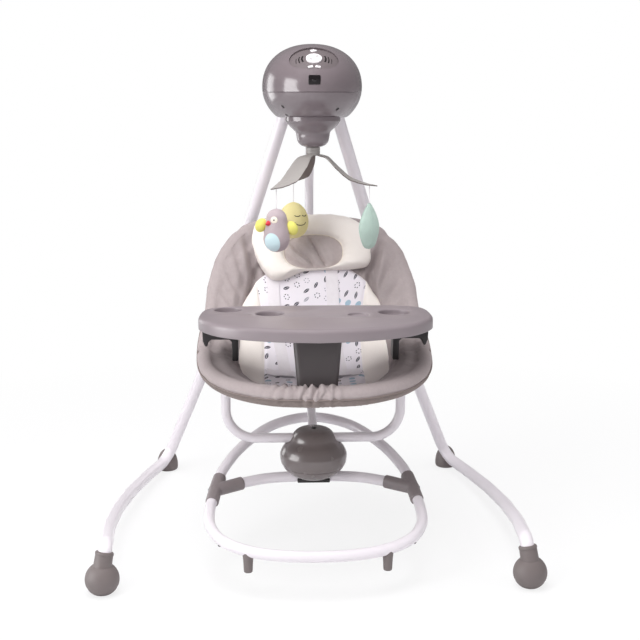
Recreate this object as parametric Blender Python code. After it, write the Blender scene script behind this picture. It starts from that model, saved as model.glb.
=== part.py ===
# Electric baby swing: tube stand, motor head, pendulum arm, rocker seat with a tray, and a toy mobile.
# Metres, +Z up, front towards -Y, origin on the floor under the middle of the whole swing.

import math

import bmesh
import bpy
from mathutils import Matrix, Vector

# Clearances
GAP = 0.0003
MERGE = 0.000001

# Height of the motor head's floor, which the pivot, the stand tubes' tops and the mobile follow
HEAD_FLOOR_Z = 0.891

# Sides of a bent tube and steps of a bend
TUBE_SIDES = 8
BEND_STEPS = 3

# Stand tubes
STAND_TUBE = 0.027
STAND_WALL = 0.0012
TUBE_LEAVES_HEAD = Vector((0.063, 0.058, HEAD_FLOOR_Z - 0.019))
TUBE_GRIP = 0.068
TUBE_JOINT = Vector((0.2548, 0.284, 0.2805))
SPIGOT_LENGTH = 0.05
SPIGOT_PLAY = 0.0004
STRAIGHT_BELOW_JOINT = 0.03
REAR_CORNER = Vector((0.356, 0.386, 0.026))
REAR_BEND = 0.036
FRONT_CORNER = Vector((0.404, -0.345, 0.093))
FRONT_BEND = 0.028
TUBE_END = Vector((0.4135, -0.357, 0.034))
RAIL_BOW = 0.0385
RAIL_POINTS = 5

# Stand feet
FRONT_BALL_RADIUS = 0.033
FRONT_BALL_HEIGHT = 0.062
FRONT_FOOT_PLACE = Vector((0.4118, -0.352, 0.0))
SLEEVE_RADIUS = 0.0175
SLEEVE_TOP = 0.082
REAR_BOOT_RADIUS = 0.026
REAR_BOOT_HEIGHT = 0.054
REAR_BOOT_PLACE = Vector((0.355, 0.384, 0.0))

# Tube lock buttons
SNAP_BUTTON_RADIUS = 0.0035
SNAP_BUTTON_PROUD = 0.004
SNAP_FLANGE_RADIUS = 0.005
SNAP_FLANGE_THICK = 0.0015
SNAP_BUTTON_ABOVE_JOINT = 0.025

# Motor head
HEAD_Y = -0.045
HEAD_HALF_WIDTH = 0.101
HEAD_HALF_DEPTH = 0.155
HEAD_WIDEST_Z = HEAD_FLOOR_Z + 0.059
HEAD_DOME_RISE = 0.086
HEAD_TOP_Z = HEAD_WIDEST_Z + HEAD_DOME_RISE
HEAD_SPLIT_Z = HEAD_WIDEST_Z - 0.009
HEAD_LOWER_REACH = 0.0828
HEAD_ROUNDNESS = 2.2
HEAD_WALL = 0.0028
HEAD_FLOOR_THICK = 0.003
HEAD_STEPS = 22

# Control panel
PANEL_PLACE = Vector((0.0, -0.1585, HEAD_WIDEST_Z + HEAD_DOME_RISE * 0.6472))
PANEL_TILT = math.radians(32.6)
PANEL_HALF_WIDTH = 0.0475
PANEL_HALF_LENGTH = 0.0385
PANEL_THICK = 0.0025
PANEL_DROP = 0.004
POWER_BUTTON_RADIUS = 0.0065
POWER_BUTTON_PLACE = (0.0, -0.1360)
MODE_PAD_RADIUS = 0.0155
MODE_PAD_PLACE = (0.0, -0.1680)
KEY_WIDTH = 0.010
KEY_LENGTH = 0.0050
KEY_ASIDE = 0.0072
KEY_Y = -0.1860
BUTTON_PROUD = 0.0018
BUTTON_DEPTH = 0.0040
SLOT_WIDTH = 0.0014
SLOT_LENGTHS = (0.018, 0.015, 0.010)
SLOT_START = 0.0235
SLOT_PITCH = 0.0055
SPEAKER_RADIUS = 0.0112
SPEAKER_DEPTH = 0.007
SPEAKER_ASIDE = 0.0340
SPEAKER_BELOW = 0.0128
BOARD_HALF_WIDTH = 0.0210
BOARD_HALF_LENGTH = 0.026
BOARD_THICK = 0.0016
BOARD_BELOW = 0.0125
BOARD_POST_RADIUS = 0.0022
BOARD_POST_PLACE = (0.0180, 0.0175)

# Sensor window and power inlet
WINDOW_WIDTH = 0.024
WINDOW_HEIGHT = 0.019
WINDOW_Z = HEAD_WIDEST_Z + 0.0145
WINDOW_DEPTH = 0.0045
INLET_RADIUS = 0.0055
INLET_PLACE = Vector((0.045, 0.0650, HEAD_FLOOR_Z + 0.029))
INLET_LENGTH = 0.0175

# Swing pivot and drive
PIVOT_Z = HEAD_FLOOR_Z + 0.034
CHASSIS_FRONT = 0.000
CHASSIS_REAR = 0.0485
CHASSIS_HALF_WIDTH = 0.062
AXLE_RADIUS = 0.005
AXLE_REAR = 0.0845
AXLE_HEAD_RADIUS = 0.0085
BUSH_RADIUS = 0.0075
HUB_FRONT = 0.050
HUB_REAR = 0.080
HUB_RADIUS = 0.0145
SOCKET_RADIUS = 0.0128
SOCKET_BOTTOM = HEAD_FLOOR_Z - 0.007
GEAR_MODULE = 0.0016
PINION_TEETH = 10
SECTOR_TEETH = 40
SECTOR_SHOWN = 7
TOOTH_ADDENDUM = 0.0009
TOOTH_DEDENDUM = 0.0017
GEAR_FRONT = 0.060
GEAR_THICK = 0.007
MOTOR_RADIUS = 0.0165
MOTOR_FRONT = -0.008
MOTOR_REAR = 0.042
PINION_SHAFT_RADIUS = 0.0025
PINION_SHAFT_IN_MOTOR = 0.008
ARM_SLOT_HALF_WIDTH = 0.0235
ARM_SLOT_FRONT = 0.0505
ARM_SLOT_REAR = 0.079

# Swing arm
ARM_TUBE = 0.019
ARM_WALL = 0.0014
ARM_CORNERS = (
    Vector((0.0, 0.0645, PIVOT_Z - 0.013)),
    Vector((0.0, 0.0645, PIVOT_Z - 0.063)),
    Vector((0.0, 0.172, PIVOT_Z - 0.185)),
    Vector((0.0, 0.182, 0.400)),
    Vector((0.0, 0.130, 0.262)),
    Vector((0.0, -0.086, 0.236)),
)
ARM_BENDS = (0.045, 0.070, 0.120, 0.060)

# Hub pod under the seat
POD_Y = -0.11
POD_TOP_Z = 0.2545
POD_WIDEST_Z = 0.195
POD_RADIUS = 0.0705
POD_SEAM_Z = 0.172
POD_BOTTOM_Z = 0.146
POD_WALL = 0.0026
POD_SHOULDER_RADIUS = 0.046
POD_STEPS = 18
RELEASE_RADIUS = 0.0048
RELEASE_FORWARD = 0.008
RELEASE_PROUD = 0.0015
RELEASE_DEPTH = 0.010
CLIP_WIDTH = 0.068
CLIP_LENGTH = 0.036
CLIP_BOTTOM_Z = 0.131

# Seat carrier tube and recline hinge
CARRIER_TUBE = 0.020
CARRIER_WALL = 0.0014
CARRIER_HALF_WIDTH = 0.182
CARRIER_BOTTOM_Z = 0.231
CARRIER_TOP_Z = 0.352
CARRIER_BEND = 0.062
HINGE_Z = 0.357
HINGE_BASE_SIZE = Vector((0.026, 0.030, 0.036))
HINGE_PIN_RADIUS = 0.005
CHEEK_THICK = 0.008
CHEEK_DISC_RADIUS = 0.016
CHEEK_STRUT_RADIUS = 0.0085
CLAMP_RADIUS = 0.0135
CLAMP_LENGTH = 0.034
PIN_PROUD = 0.003

# Rocker base
ROCKER_TUBE = 0.022
ROCKER_WALL = 0.0014
LOOP_HALF = (
    Vector((0.2060, -0.178, 0.1300)),
    Vector((0.2120, -0.225, 0.1180)),
    Vector((0.2070, -0.290, 0.1060)),
    Vector((0.1750, -0.350, 0.0970)),
    Vector((0.1050, -0.389, 0.0900)),
    Vector((0.0000, -0.402, 0.0880)),
)
ARCH_HALF = (
    Vector((0.2025, -0.146, 0.1420)),
    Vector((0.1880, -0.095, 0.1620)),
    Vector((0.1500, -0.025, 0.1880)),
    Vector((0.0850, 0.045, 0.2130)),
    Vector((0.0000, 0.072, 0.2230)),
)
CROSS_HALF = (
    Vector((0.1720, -0.1405, 0.1390)),
    Vector((0.1000, -0.1150, 0.1440)),
    Vector((0.0340, -0.1100, 0.1460)),
    Vector((0.0000, -0.1100, 0.1460)),
)
CONNECTOR_RADIUS = 0.0138
CONNECTOR_OVERLAP = 0.024
PEG_X = 0.130
PEG_BOTTOM_Z = 0.050
PEG_TOP_RADIUS = 0.0105
PEG_BOTTOM_RADIUS = 0.0085

# Seat frame and sling: matching points up the frame's side and along the sling's middle line
HOOP_TUBE = 0.016
HOOP_WALL = 0.0012
HOOP_START = 0.004
HOOP_POINTS = 13
HOOP_HALF = (
    Vector((0.0000, -0.385, 0.392)),
    Vector((0.0850, -0.375, 0.393)),
    Vector((0.1580, -0.335, 0.398)),
    Vector((0.2050, -0.260, 0.408)),
    Vector((0.2180, -0.160, 0.430)),
    Vector((0.2125, -0.060, 0.475)),
    Vector((0.2000, 0.005, 0.535)),
    Vector((0.1720, 0.050, 0.600)),
    Vector((0.1080, 0.080, 0.650)),
    Vector((0.0000, 0.090, 0.668)),
)
SLING_MIDDLE = (
    Vector((0.0, -0.385, 0.392)),
    Vector((0.0, -0.345, 0.378)),
    Vector((0.0, -0.285, 0.366)),
    Vector((0.0, -0.205, 0.358)),
    Vector((0.0, -0.125, 0.362)),
    Vector((0.0, -0.070, 0.392)),
    Vector((0.0, -0.030, 0.452)),
    Vector((0.0, 0.015, 0.535)),
    Vector((0.0, 0.055, 0.610)),
    Vector((0.0, 0.090, 0.668)),
)
SLING_THICK = 0.013
SLING_ROWS = 15
SLING_COLUMNS = 8
SLING_START = 0.045
SLING_END = 0.965
SLING_EDGE = 0.011
ROLL_RADIUS = 0.0135
LIP_RADIUS = 0.0205
LIP_END_RADIUS = 0.0150
LIP_GATHER = 0.0016
LIP_GATHERS = 9
LIP_GATHERED_HALF = 0.115
CLAMP_AT = 0.500
CLAMP_FREE = 0.055
LIP_POINTS = 18
INSERT_THICK = 0.0035
INSERT_LIFT = 0.0012
INSERT_HALF_WIDTH = 0.118
INSERT_ROWS = (3, 10)
INSERT_COLUMNS = 6

# Head pillow and shoulder straps
PILLOW_HALF_WIDTH = 0.130
PILLOW_HALF_HEIGHT = 0.074
PILLOW_THICK = 0.027
PILLOW_DISH = 0.008
PILLOW_LIFT = 0.0014
PILLOW_BELOW_TOP = 0.073
STRAP_WIDTH = 0.026
STRAP_THICK = 0.0025
STRAP_ASIDE = 0.062
STRAP_LIFT = 0.0059
STRAP_TOP_ROW = 9
BELT_ROW = 6
BELT_HALF = 0.095

# Tray
TRAY_TOP_Z = 0.522
TRAY_BOTTOM_Z = 0.498
TRAY_WALL = 0.003
TRAY_OUTLINE_HALF = (
    Vector((0.0000, -0.4100, 0.0)),
    Vector((0.0850, -0.3970, 0.0)),
    Vector((0.1650, -0.3520, 0.0)),
    Vector((0.2120, -0.2900, 0.0)),
    Vector((0.2235, -0.2350, 0.0)),
    Vector((0.2080, -0.1840, 0.0)),
    Vector((0.1650, -0.1620, 0.0)),
    Vector((0.0800, -0.1560, 0.0)),
    Vector((0.0000, -0.1550, 0.0)),
)
TRAY_EDGE = 0.006
CUP_RADIUS = 0.0275
CUP_FLOOR_Z = 0.5065
CUP_PLACES = ((-0.170, -0.200), (-0.088, -0.243), (0.153, -0.236))
DISH_PLACE = (0.082, -0.262)
DISH_RADIUS = 0.021
DISH_FLOOR_Z = 0.5165
CUP_WALL = 0.0025
POST_TOP_WIDTH = 0.096
POST_BOTTOM_WIDTH = 0.074
POST_BOTTOM_Z = 0.392
POST_FRONT_TOP = -0.352
POST_FRONT_BOTTOM = -0.3635
POST_DEPTH_TOP = 0.062
POST_DEPTH_BOTTOM = 0.036
POST_BEVEL = 0.008
BRACKET_X = 0.1845
BRACKET_Y = -0.232
BRACKET_WIDTH = 0.069
BRACKET_LENGTH = 0.044
BRACKET_BOTTOM_Z = 0.430

# Mobile
MOBILE_Y = -0.105
BOWL_RADIUS = 0.0545
BOWL_STEP_RADIUS = 0.0328
BOWL_HEIGHT = 0.0575
BOWL_BOTTOM_Z = HEAD_FLOOR_Z - BOWL_HEIGHT
BOWL_WALL = 0.0025
BOWL_SEAT = 0.052
NECK_RADIUS = 0.014
NECK_BOTTOM_Z = BOWL_BOTTOM_Z - 0.0135
MOBILE_SHAFT_RADIUS = 0.0042
LEAF_TURN = math.radians(-10.5)
LEAF_COUNT = 3
LEAF_THICK = 0.0022
LEAF_CUP = 0.12
# Reach, drop below the neck and half width of a leaf arm
LEAF_ROWS = (
    (0.0040, 0.0006, 0.0050),
    (0.0128, 0.0009, 0.0095),
    (0.0300, 0.0052, 0.0145),
    (0.0470, 0.0212, 0.0168),
    (0.0725, 0.0434, 0.0168),
    (0.0900, 0.0512, 0.0140),
    (0.1080, 0.0572, 0.0100),
    (0.1220, 0.0602, 0.0045),
    (0.1300, 0.0617, 0.0012),
)
TOY_REACH = 0.114
STRING_RADIUS = 0.001
BIRD_TOP_Z = NECK_BOTTOM_Z - 0.1010
BIRD_HEIGHT = 0.085
BIRD_RADIUS = 0.0245
WING_HALF = Vector((0.0065, 0.008, 0.013))
WING_DROP = 0.038
WING_TURN = 0.35
EGG_TOP_Z = NECK_BOTTOM_Z - 0.1060
EGG_HEIGHT = 0.077
EGG_RADIUS = 0.0290
EGG_FLATNESS = 0.76
MINT_TOP_Z = NECK_BOTTOM_Z - 0.0960
MINT_HEIGHT = 0.094
MINT_HALF_WIDTH = 0.0235
MINT_FLATNESS = 0.46
MINT_TURN = math.radians(28.0)

# Colour, roughness and metallic of each finish
FINISHES = {
    "taupe_plastic": ((0.235, 0.205, 0.205), 0.32, 0.0),
    "tray_plastic": ((0.330, 0.295, 0.300), 0.38, 0.0),
    "foot_rubber": ((0.145, 0.120, 0.118), 0.55, 0.0),
    "black_plastic": ((0.012, 0.010, 0.012), 0.30, 0.0),
    "white_steel": ((0.830, 0.790, 0.830), 0.30, 0.0),
    "bare_steel": ((0.560, 0.560, 0.580), 0.35, 1.0),
    "brass": ((0.660, 0.480, 0.220), 0.35, 1.0),
    "white_plastic": ((0.800, 0.780, 0.780), 0.35, 0.0),
    "circuit_green": ((0.020, 0.140, 0.060), 0.50, 0.0),
    "taupe_fabric": ((0.400, 0.350, 0.345), 0.88, 0.0),
    "cream_fabric": ((0.850, 0.780, 0.730), 0.90, 0.0),
    "print_fabric": ((0.780, 0.740, 0.800), 0.88, 0.0),
    "white_webbing": ((0.820, 0.790, 0.800), 0.85, 0.0),
    "leaf_plastic": ((0.370, 0.345, 0.335), 0.45, 0.0),
    "bird_plush": ((0.420, 0.340, 0.360), 0.95, 0.0),
    "yellow_plush": ((0.720, 0.650, 0.330), 0.95, 0.0),
    "mint_plush": ((0.440, 0.620, 0.560), 0.95, 0.0),
}


# Basic tools

def clear_scene():
    for obj in list(bpy.data.objects):
        bpy.data.objects.remove(obj, do_unlink=True)


def new_object(name, mesh):
    obj = bpy.data.objects.new(name, mesh)
    bpy.context.scene.collection.objects.link(obj)
    return obj


def mesh_object(name, bm):
    bmesh.ops.remove_doubles(bm, verts=bm.verts, dist=MERGE)
    bmesh.ops.recalc_face_normals(bm, faces=bm.faces)
    mesh = bpy.data.meshes.new(name)
    bm.to_mesh(mesh)
    bm.free()
    return new_object(name, mesh)


def evaluated_mesh(obj):
    bpy.context.view_layer.update()
    graph = bpy.context.evaluated_depsgraph_get()
    return bpy.data.meshes.new_from_object(obj.evaluated_get(graph))


def bake(obj):
    mesh = evaluated_mesh(obj)
    obj.modifiers.clear()
    obj.data = mesh
    return obj


def boolean(target, other, operation):
    modifier = target.modifiers.new(operation, "BOOLEAN")
    modifier.operation = operation
    modifier.solver = "EXACT"
    modifier.object = other
    bake(target)
    bpy.data.objects.remove(other)
    return target


def cut(target, *cutters):
    for cutter in cutters:
        boolean(target, cutter, "DIFFERENCE")
    return target


def join(target, *others):
    for other in others:
        boolean(target, other, "UNION")
    return target


def finish(obj, name, finish_name, pivot=None):
    # Names the piece, gives it its own material and smooth shading, and puts its origin on its joint.
    obj.name = name
    obj.data.name = name
    colour, roughness, metallic = FINISHES[finish_name]
    material = bpy.data.materials.new(name + "_" + finish_name)
    material.use_nodes = True
    shader = material.node_tree.nodes["Principled BSDF"]
    shader.inputs["Base Color"].default_value = (*colour, 1.0)
    shader.inputs["Roughness"].default_value = roughness
    shader.inputs["Metallic"].default_value = metallic
    obj.data.materials.clear()
    obj.data.materials.append(material)
    obj.data.shade_smooth()
    obj.data.set_sharp_from_angle(angle=math.radians(38.0))
    if pivot is not None:
        obj.data.transform(Matrix.Translation(-Vector(pivot)))
        obj.location = pivot
    return obj


# Shape tools

def turned(profile, steps, place=(0.0, 0.0, 0.0), closed=False, stretch=(1.0, 1.0), turn=0.0):
    # A profile of (radius, height) points spun about the vertical through place.
    bm = bmesh.new()
    verts = [bm.verts.new((radius, 0.0, height)) for radius, height in profile]
    pairs = list(zip(verts, verts[1:]))
    if closed:
        pairs.append((verts[-1], verts[0]))
    edges = [bm.edges.new(pair) for pair in pairs]
    bmesh.ops.spin(
        bm,
        geom=verts + edges,
        cent=(0.0, 0.0, 0.0),
        axis=(0.0, 0.0, 1.0),
        angle=2.0 * math.pi,
        steps=steps,
        use_merge=True,
    )
    bmesh.ops.scale(bm, vec=(stretch[0], stretch[1], 1.0), verts=bm.verts)
    bmesh.ops.rotate(bm, cent=(0, 0, 0), matrix=Matrix.Rotation(turn, 3, "Z"), verts=bm.verts)
    bmesh.ops.translate(bm, vec=place, verts=bm.verts)
    return mesh_object("turned", bm)


def rod(start, end, radius, sides=12, end_radius=None):
    start = Vector(start)
    end = Vector(end)
    along = end - start
    turn = along.to_track_quat("Z", "Y").to_matrix().to_4x4()
    bm = bmesh.new()
    bmesh.ops.create_cone(
        bm,
        cap_ends=True,
        segments=sides,
        radius1=radius,
        radius2=radius if end_radius is None else end_radius,
        depth=along.length,
        matrix=Matrix.Translation((start + end) / 2.0) @ turn,
    )
    return mesh_object("rod", bm)


def block(centre, size, turn=None, bevel=0.0):
    bm = bmesh.new()
    bmesh.ops.create_cube(bm, size=1.0)
    bmesh.ops.scale(bm, vec=size, verts=bm.verts)
    if bevel:
        bmesh.ops.bevel(
            bm,
            geom=bm.edges[:],
            offset=bevel,
            offset_type="OFFSET",
            segments=2,
            profile=0.5,
            affect="EDGES",
            material=-1,
        )
    if turn is not None:
        bmesh.ops.rotate(bm, cent=(0, 0, 0), matrix=turn, verts=bm.verts)
    bmesh.ops.translate(bm, vec=centre, verts=bm.verts)
    return mesh_object("block", bm)


def swept(points, radius, sides=TUBE_SIDES, wall=None, factors=None):
    # A round tube along a path: solid, or hollow with open ends where a wall is given.
    curve = bpy.data.curves.new("swept", "CURVE")
    curve.dimensions = "3D"
    curve.bevel_depth = radius
    curve.bevel_resolution = (sides - 4) // 2
    curve.use_fill_caps = wall is None
    spline = curve.splines.new("POLY")
    spline.points.add(len(points) - 1)
    for index, place in enumerate(points):
        spline.points[index].co = (*place, 1.0)
        if factors:
            spline.points[index].radius = factors[index]
    guide = new_object("swept", curve)
    mesh = evaluated_mesh(guide)
    bpy.data.objects.remove(guide)
    bm = bmesh.new()
    bm.from_mesh(mesh)
    obj = mesh_object("swept", bm)
    if wall is not None:
        shell = obj.modifiers.new("wall", "SOLIDIFY")
        shell.thickness = wall
        shell.offset = -1.0
        shell.use_even_offset = True
        bake(obj)
    return obj


def mirrored(points):
    # A half path that ends on the middle plane, carried on to the other side.
    other = [Vector((-point.x, point.y, point.z)) for point in points[:-1]]
    return list(points) + other[::-1]


def curve_point(points, place):
    # A Catmull-Rom curve through the points, read at a place from 0 to 1.
    spans = len(points) - 1
    at = min(max(place, 0.0), 1.0) * spans
    index = min(int(at), spans - 1)
    t = at - index
    p1 = points[index]
    p2 = points[index + 1]
    p0 = points[index - 1] if index else p1 * 2.0 - p2
    p3 = points[index + 2] if index + 2 <= spans else p2 * 2.0 - p1
    return (
        p1 * 2.0
        + (p2 - p0) * t
        + (p0 * 2.0 - p1 * 5.0 + p2 * 4.0 - p3) * t * t
        + (p1 * 3.0 - p0 - p2 * 3.0 + p3) * t * t * t
    ) * 0.5


def smooth_path(points, count):
    return [curve_point(points, index / count) for index in range(count + 1)]


def bent_path(corners, bends, steps=BEND_STEPS):
    # Straight runs joined by arcs, as a bent tube has; a bend of 0 leaves a plain corner.
    path = [corners[0]]
    for index in range(1, len(corners) - 1):
        corner = corners[index]
        back = (corners[index - 1] - corner).normalized()
        ahead = (corners[index + 1] - corner).normalized()
        bend = bends[index - 1]
        if not bend:
            path.append(corner)
            continue
        half = back.angle(ahead) / 2.0
        reach = bend / math.tan(half)
        middle = corner + (back + ahead).normalized() * (bend / math.sin(half))
        first = corner + back * reach - middle
        last = corner + ahead * reach - middle
        sweep = first.angle(last)
        for step in range(steps + 1):
            share = step / steps
            weight_first = math.sin((1.0 - share) * sweep) / math.sin(sweep)
            weight_last = math.sin(share * sweep) / math.sin(sweep)
            path.append(middle + first * weight_first + last * weight_last)
    path.append(corners[-1])
    return path


def on_side(point, side):
    return Vector((point[0] * side, point[1], point[2]))


# Stand

def tube_down(side):
    return on_side((TUBE_JOINT - TUBE_LEAVES_HEAD).normalized(), side)


def tube_top(side):
    return on_side(TUBE_LEAVES_HEAD, side) - tube_down(side) * TUBE_GRIP


def spigot_radius():
    return STAND_TUBE / 2.0 - STAND_WALL - SPIGOT_PLAY


def floor_tube_path(side):
    down = tube_down(side)
    joint = on_side(TUBE_JOINT, side)
    rail = []
    for index in range(1, RAIL_POINTS):
        t = index / RAIL_POINTS
        place = REAR_CORNER.lerp(FRONT_CORNER, t)
        place.x += RAIL_BOW * 4.0 * t * (1.0 - t)
        place.z = REAR_CORNER.z + (FRONT_CORNER.z - REAR_CORNER.z) * t**1.5
        rail.append(on_side(place, side))
    corners = [
        joint + down * GAP * 3.0,
        joint + down * STRAIGHT_BELOW_JOINT,
        on_side(REAR_CORNER, side),
        *rail,
        on_side(FRONT_CORNER, side),
        on_side(TUBE_END, side),
    ]
    bends = [0.0, REAR_BEND] + [0.0] * len(rail) + [FRONT_BEND]
    return bent_path(corners, bends)


def floor_tube(side, extra=0.0, wall=None):
    # The swaged spigot that slides into the upper tube, then the full tube.
    joint = on_side(TUBE_JOINT, side)
    down = tube_down(side)
    path = [joint - down * SPIGOT_LENGTH, joint + down * GAP] + floor_tube_path(side)
    path[-1] = path[-1] + (path[-1] - path[-2]).normalized() * extra
    factor = spigot_radius() / (STAND_TUBE / 2.0)
    factors = [factor, factor] + [1.0] * (len(path) - 2)
    return swept(path, STAND_TUBE / 2.0 + extra, wall=wall, factors=factors)


def make_stand_tubes(side, label):
    down = tube_down(side)
    joint = on_side(TUBE_JOINT, side)
    lock = joint - down * SNAP_BUTTON_ABOVE_JOINT
    outward = Vector((side, 0.0, 0.0))
    outward = (outward - down * outward.dot(down)).normalized()
    hole_end = lock + outward * STAND_TUBE
    upper = swept([tube_top(side), joint], STAND_TUBE / 2.0, wall=STAND_WALL)
    cut(upper, rod(lock, hole_end, SNAP_BUTTON_RADIUS + GAP))
    finish(upper, label + "_upper_tube", "white_steel")
    lower = floor_tube(side, wall=STAND_WALL)
    cut(lower, rod(lock, hole_end, SNAP_BUTTON_RADIUS + GAP))
    finish(lower, label + "_floor_tube", "white_steel")
    bore = spigot_radius() - STAND_WALL
    flange_out = math.sqrt(bore**2 - SNAP_FLANGE_RADIUS**2) - GAP * 4.0
    button = rod(
        lock + outward * (flange_out - SNAP_FLANGE_THICK / 2.0),
        lock + outward * (STAND_TUBE / 2.0 + SNAP_BUTTON_PROUD),
        SNAP_BUTTON_RADIUS,
    )
    flange = rod(
        lock + outward * (flange_out - SNAP_FLANGE_THICK),
        lock + outward * flange_out,
        SNAP_FLANGE_RADIUS,
    )
    join(button, flange)
    finish(button, label + "_snap_button", "bare_steel", lock)


def make_front_foot(side, label):
    place = on_side(FRONT_FOOT_PLACE, side)
    ball = []
    for index in range(8):
        angle = math.radians(-62.0 + 142.0 * index / 7.0)
        middle = FRONT_BALL_HEIGHT * 0.46
        reach = FRONT_BALL_HEIGHT - middle
        drop = middle / math.sin(math.radians(62.0))
        height = middle + (reach if angle > 0.0 else drop) * math.sin(angle)
        ball.append((FRONT_BALL_RADIUS * math.cos(angle), height))
    ball = [(0.0, 0.0)] + ball + [(0.0, FRONT_BALL_HEIGHT)]
    foot = turned(ball, 16, place)
    end = on_side(TUBE_END, side)
    corner = on_side(FRONT_CORNER, side)
    up = (corner - end).normalized()
    sleeve_start = end + up * 0.004
    sleeve_end = end + up * ((SLEEVE_TOP - end.z) / up.z)
    join(foot, rod(sleeve_start, sleeve_end, SLEEVE_RADIUS, 14, SLEEVE_RADIUS * 0.97))
    cut(foot, floor_tube(side, GAP))
    finish(foot, label + "_foot", "foot_rubber")


def make_rear_foot(side, label):
    place = on_side(REAR_BOOT_PLACE, side)
    boot = [
        (0.0, 0.0),
        (REAR_BOOT_RADIUS * 0.88, 0.0),
        (REAR_BOOT_RADIUS, REAR_BOOT_HEIGHT * 0.12),
        (REAR_BOOT_RADIUS * 0.98, REAR_BOOT_HEIGHT * 0.40),
        (REAR_BOOT_RADIUS * 0.84, REAR_BOOT_HEIGHT * 0.68),
        (REAR_BOOT_RADIUS * 0.55, REAR_BOOT_HEIGHT * 0.91),
        (0.0, REAR_BOOT_HEIGHT),
    ]
    foot = turned(boot, 14, place)
    cut(foot, floor_tube(side, GAP))
    finish(foot, label + "_foot", "foot_rubber")


# Motor head

def dome_profile(inset, drop=0.0):
    # Upper half of the head from its top down to its widest ring.
    width = HEAD_HALF_WIDTH - inset
    rise = HEAD_TOP_Z - HEAD_WIDEST_Z - inset - drop
    power = 2.0 / HEAD_ROUNDNESS
    points = []
    for index in range(8):
        angle = math.radians(90.0 * index / 7.0)
        radius = width * max(math.sin(angle), 0.0) ** power
        height = HEAD_WIDEST_Z + rise * max(math.cos(angle), 0.0) ** power
        points.append((radius, height))
    return points


def bowl_radius_at(height, inset):
    # Lower half of the head, a quarter ellipse below the widest ring.
    share = (HEAD_WIDEST_Z - height) / (HEAD_LOWER_REACH - inset)
    return (HEAD_HALF_WIDTH - inset) * math.sqrt(max(1.0 - share * share, 0.0))


def head_stretch():
    return (1.0, HEAD_HALF_DEPTH / HEAD_HALF_WIDTH)


def head_solid(inset=0.0, drop=0.0, floor=HEAD_FLOOR_Z):
    lower = [HEAD_SPLIT_Z, (HEAD_SPLIT_Z + floor) / 2.0, floor]
    profile = dome_profile(inset, drop) + [(bowl_radius_at(height, inset), height) for height in lower]
    profile.append((0.0, floor))
    return turned(profile, HEAD_STEPS, (0.0, HEAD_Y, 0.0), stretch=head_stretch())


def panel_frame():
    right = Vector((1.0, 0.0, 0.0))
    up = Vector((0.0, math.cos(PANEL_TILT), math.sin(PANEL_TILT)))
    out = Vector((0.0, -math.sin(PANEL_TILT), math.cos(PANEL_TILT)))
    return Matrix((right, up, out)).transposed()


def on_panel(right, up, out):
    return PANEL_PLACE + panel_frame() @ Vector((right, up, out))


def panel_oval(inset, low, high, sides=24):
    oval = turned(
        [(0.0, low), (PANEL_HALF_WIDTH - inset, low), (PANEL_HALF_WIDTH - inset, high), (0.0, high)],
        sides,
        stretch=(1.0, (PANEL_HALF_LENGTH - inset) / (PANEL_HALF_WIDTH - inset)),
    )
    oval.data.transform(Matrix.Translation(PANEL_PLACE) @ panel_frame().to_4x4())
    return oval


def panel_height(x, y):
    # The control panel follows the dome, a little lower.
    share = math.hypot(x / HEAD_HALF_WIDTH, (y - HEAD_Y) / HEAD_HALF_DEPTH)
    rise = HEAD_TOP_Z - PANEL_DROP - HEAD_WIDEST_Z
    return HEAD_WIDEST_Z + rise * (1.0 - share**HEAD_ROUNDNESS) ** (1.0 / HEAD_ROUNDNESS)


def button_frame(place):
    # Where a button sits on the panel, and its axes: right, up the slope and out.
    x, y = place
    step = 0.001
    across = Vector((2.0 * step, 0.0, panel_height(x + step, y) - panel_height(x - step, y)))
    along = Vector((0.0, 2.0 * step, panel_height(x, y + step) - panel_height(x, y - step)))
    out = across.cross(along).normalized()
    right = across.normalized()
    return Vector((x, y, panel_height(x, y))), Matrix((right, out.cross(right), out)).transposed()


def tube_holes(extra):
    holes = []
    for side in (-1, 1):
        start = tube_top(side) - tube_down(side) * extra
        end = on_side(TUBE_LEAVES_HEAD, side) + tube_down(side) * extra
        holes.append(swept([start, end], STAND_TUBE / 2.0 + GAP))
    return holes


def window_block(extra):
    front = HEAD_Y - HEAD_HALF_DEPTH
    size = Vector((WINDOW_WIDTH, WINDOW_DEPTH, WINDOW_HEIGHT))
    centre = Vector((0.0, front + WINDOW_DEPTH / 2.0 + 0.0012, WINDOW_Z))
    if extra:
        size += Vector((2.0 * extra, 0.03, 2.0 * extra))
    return block(centre, size)


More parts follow.
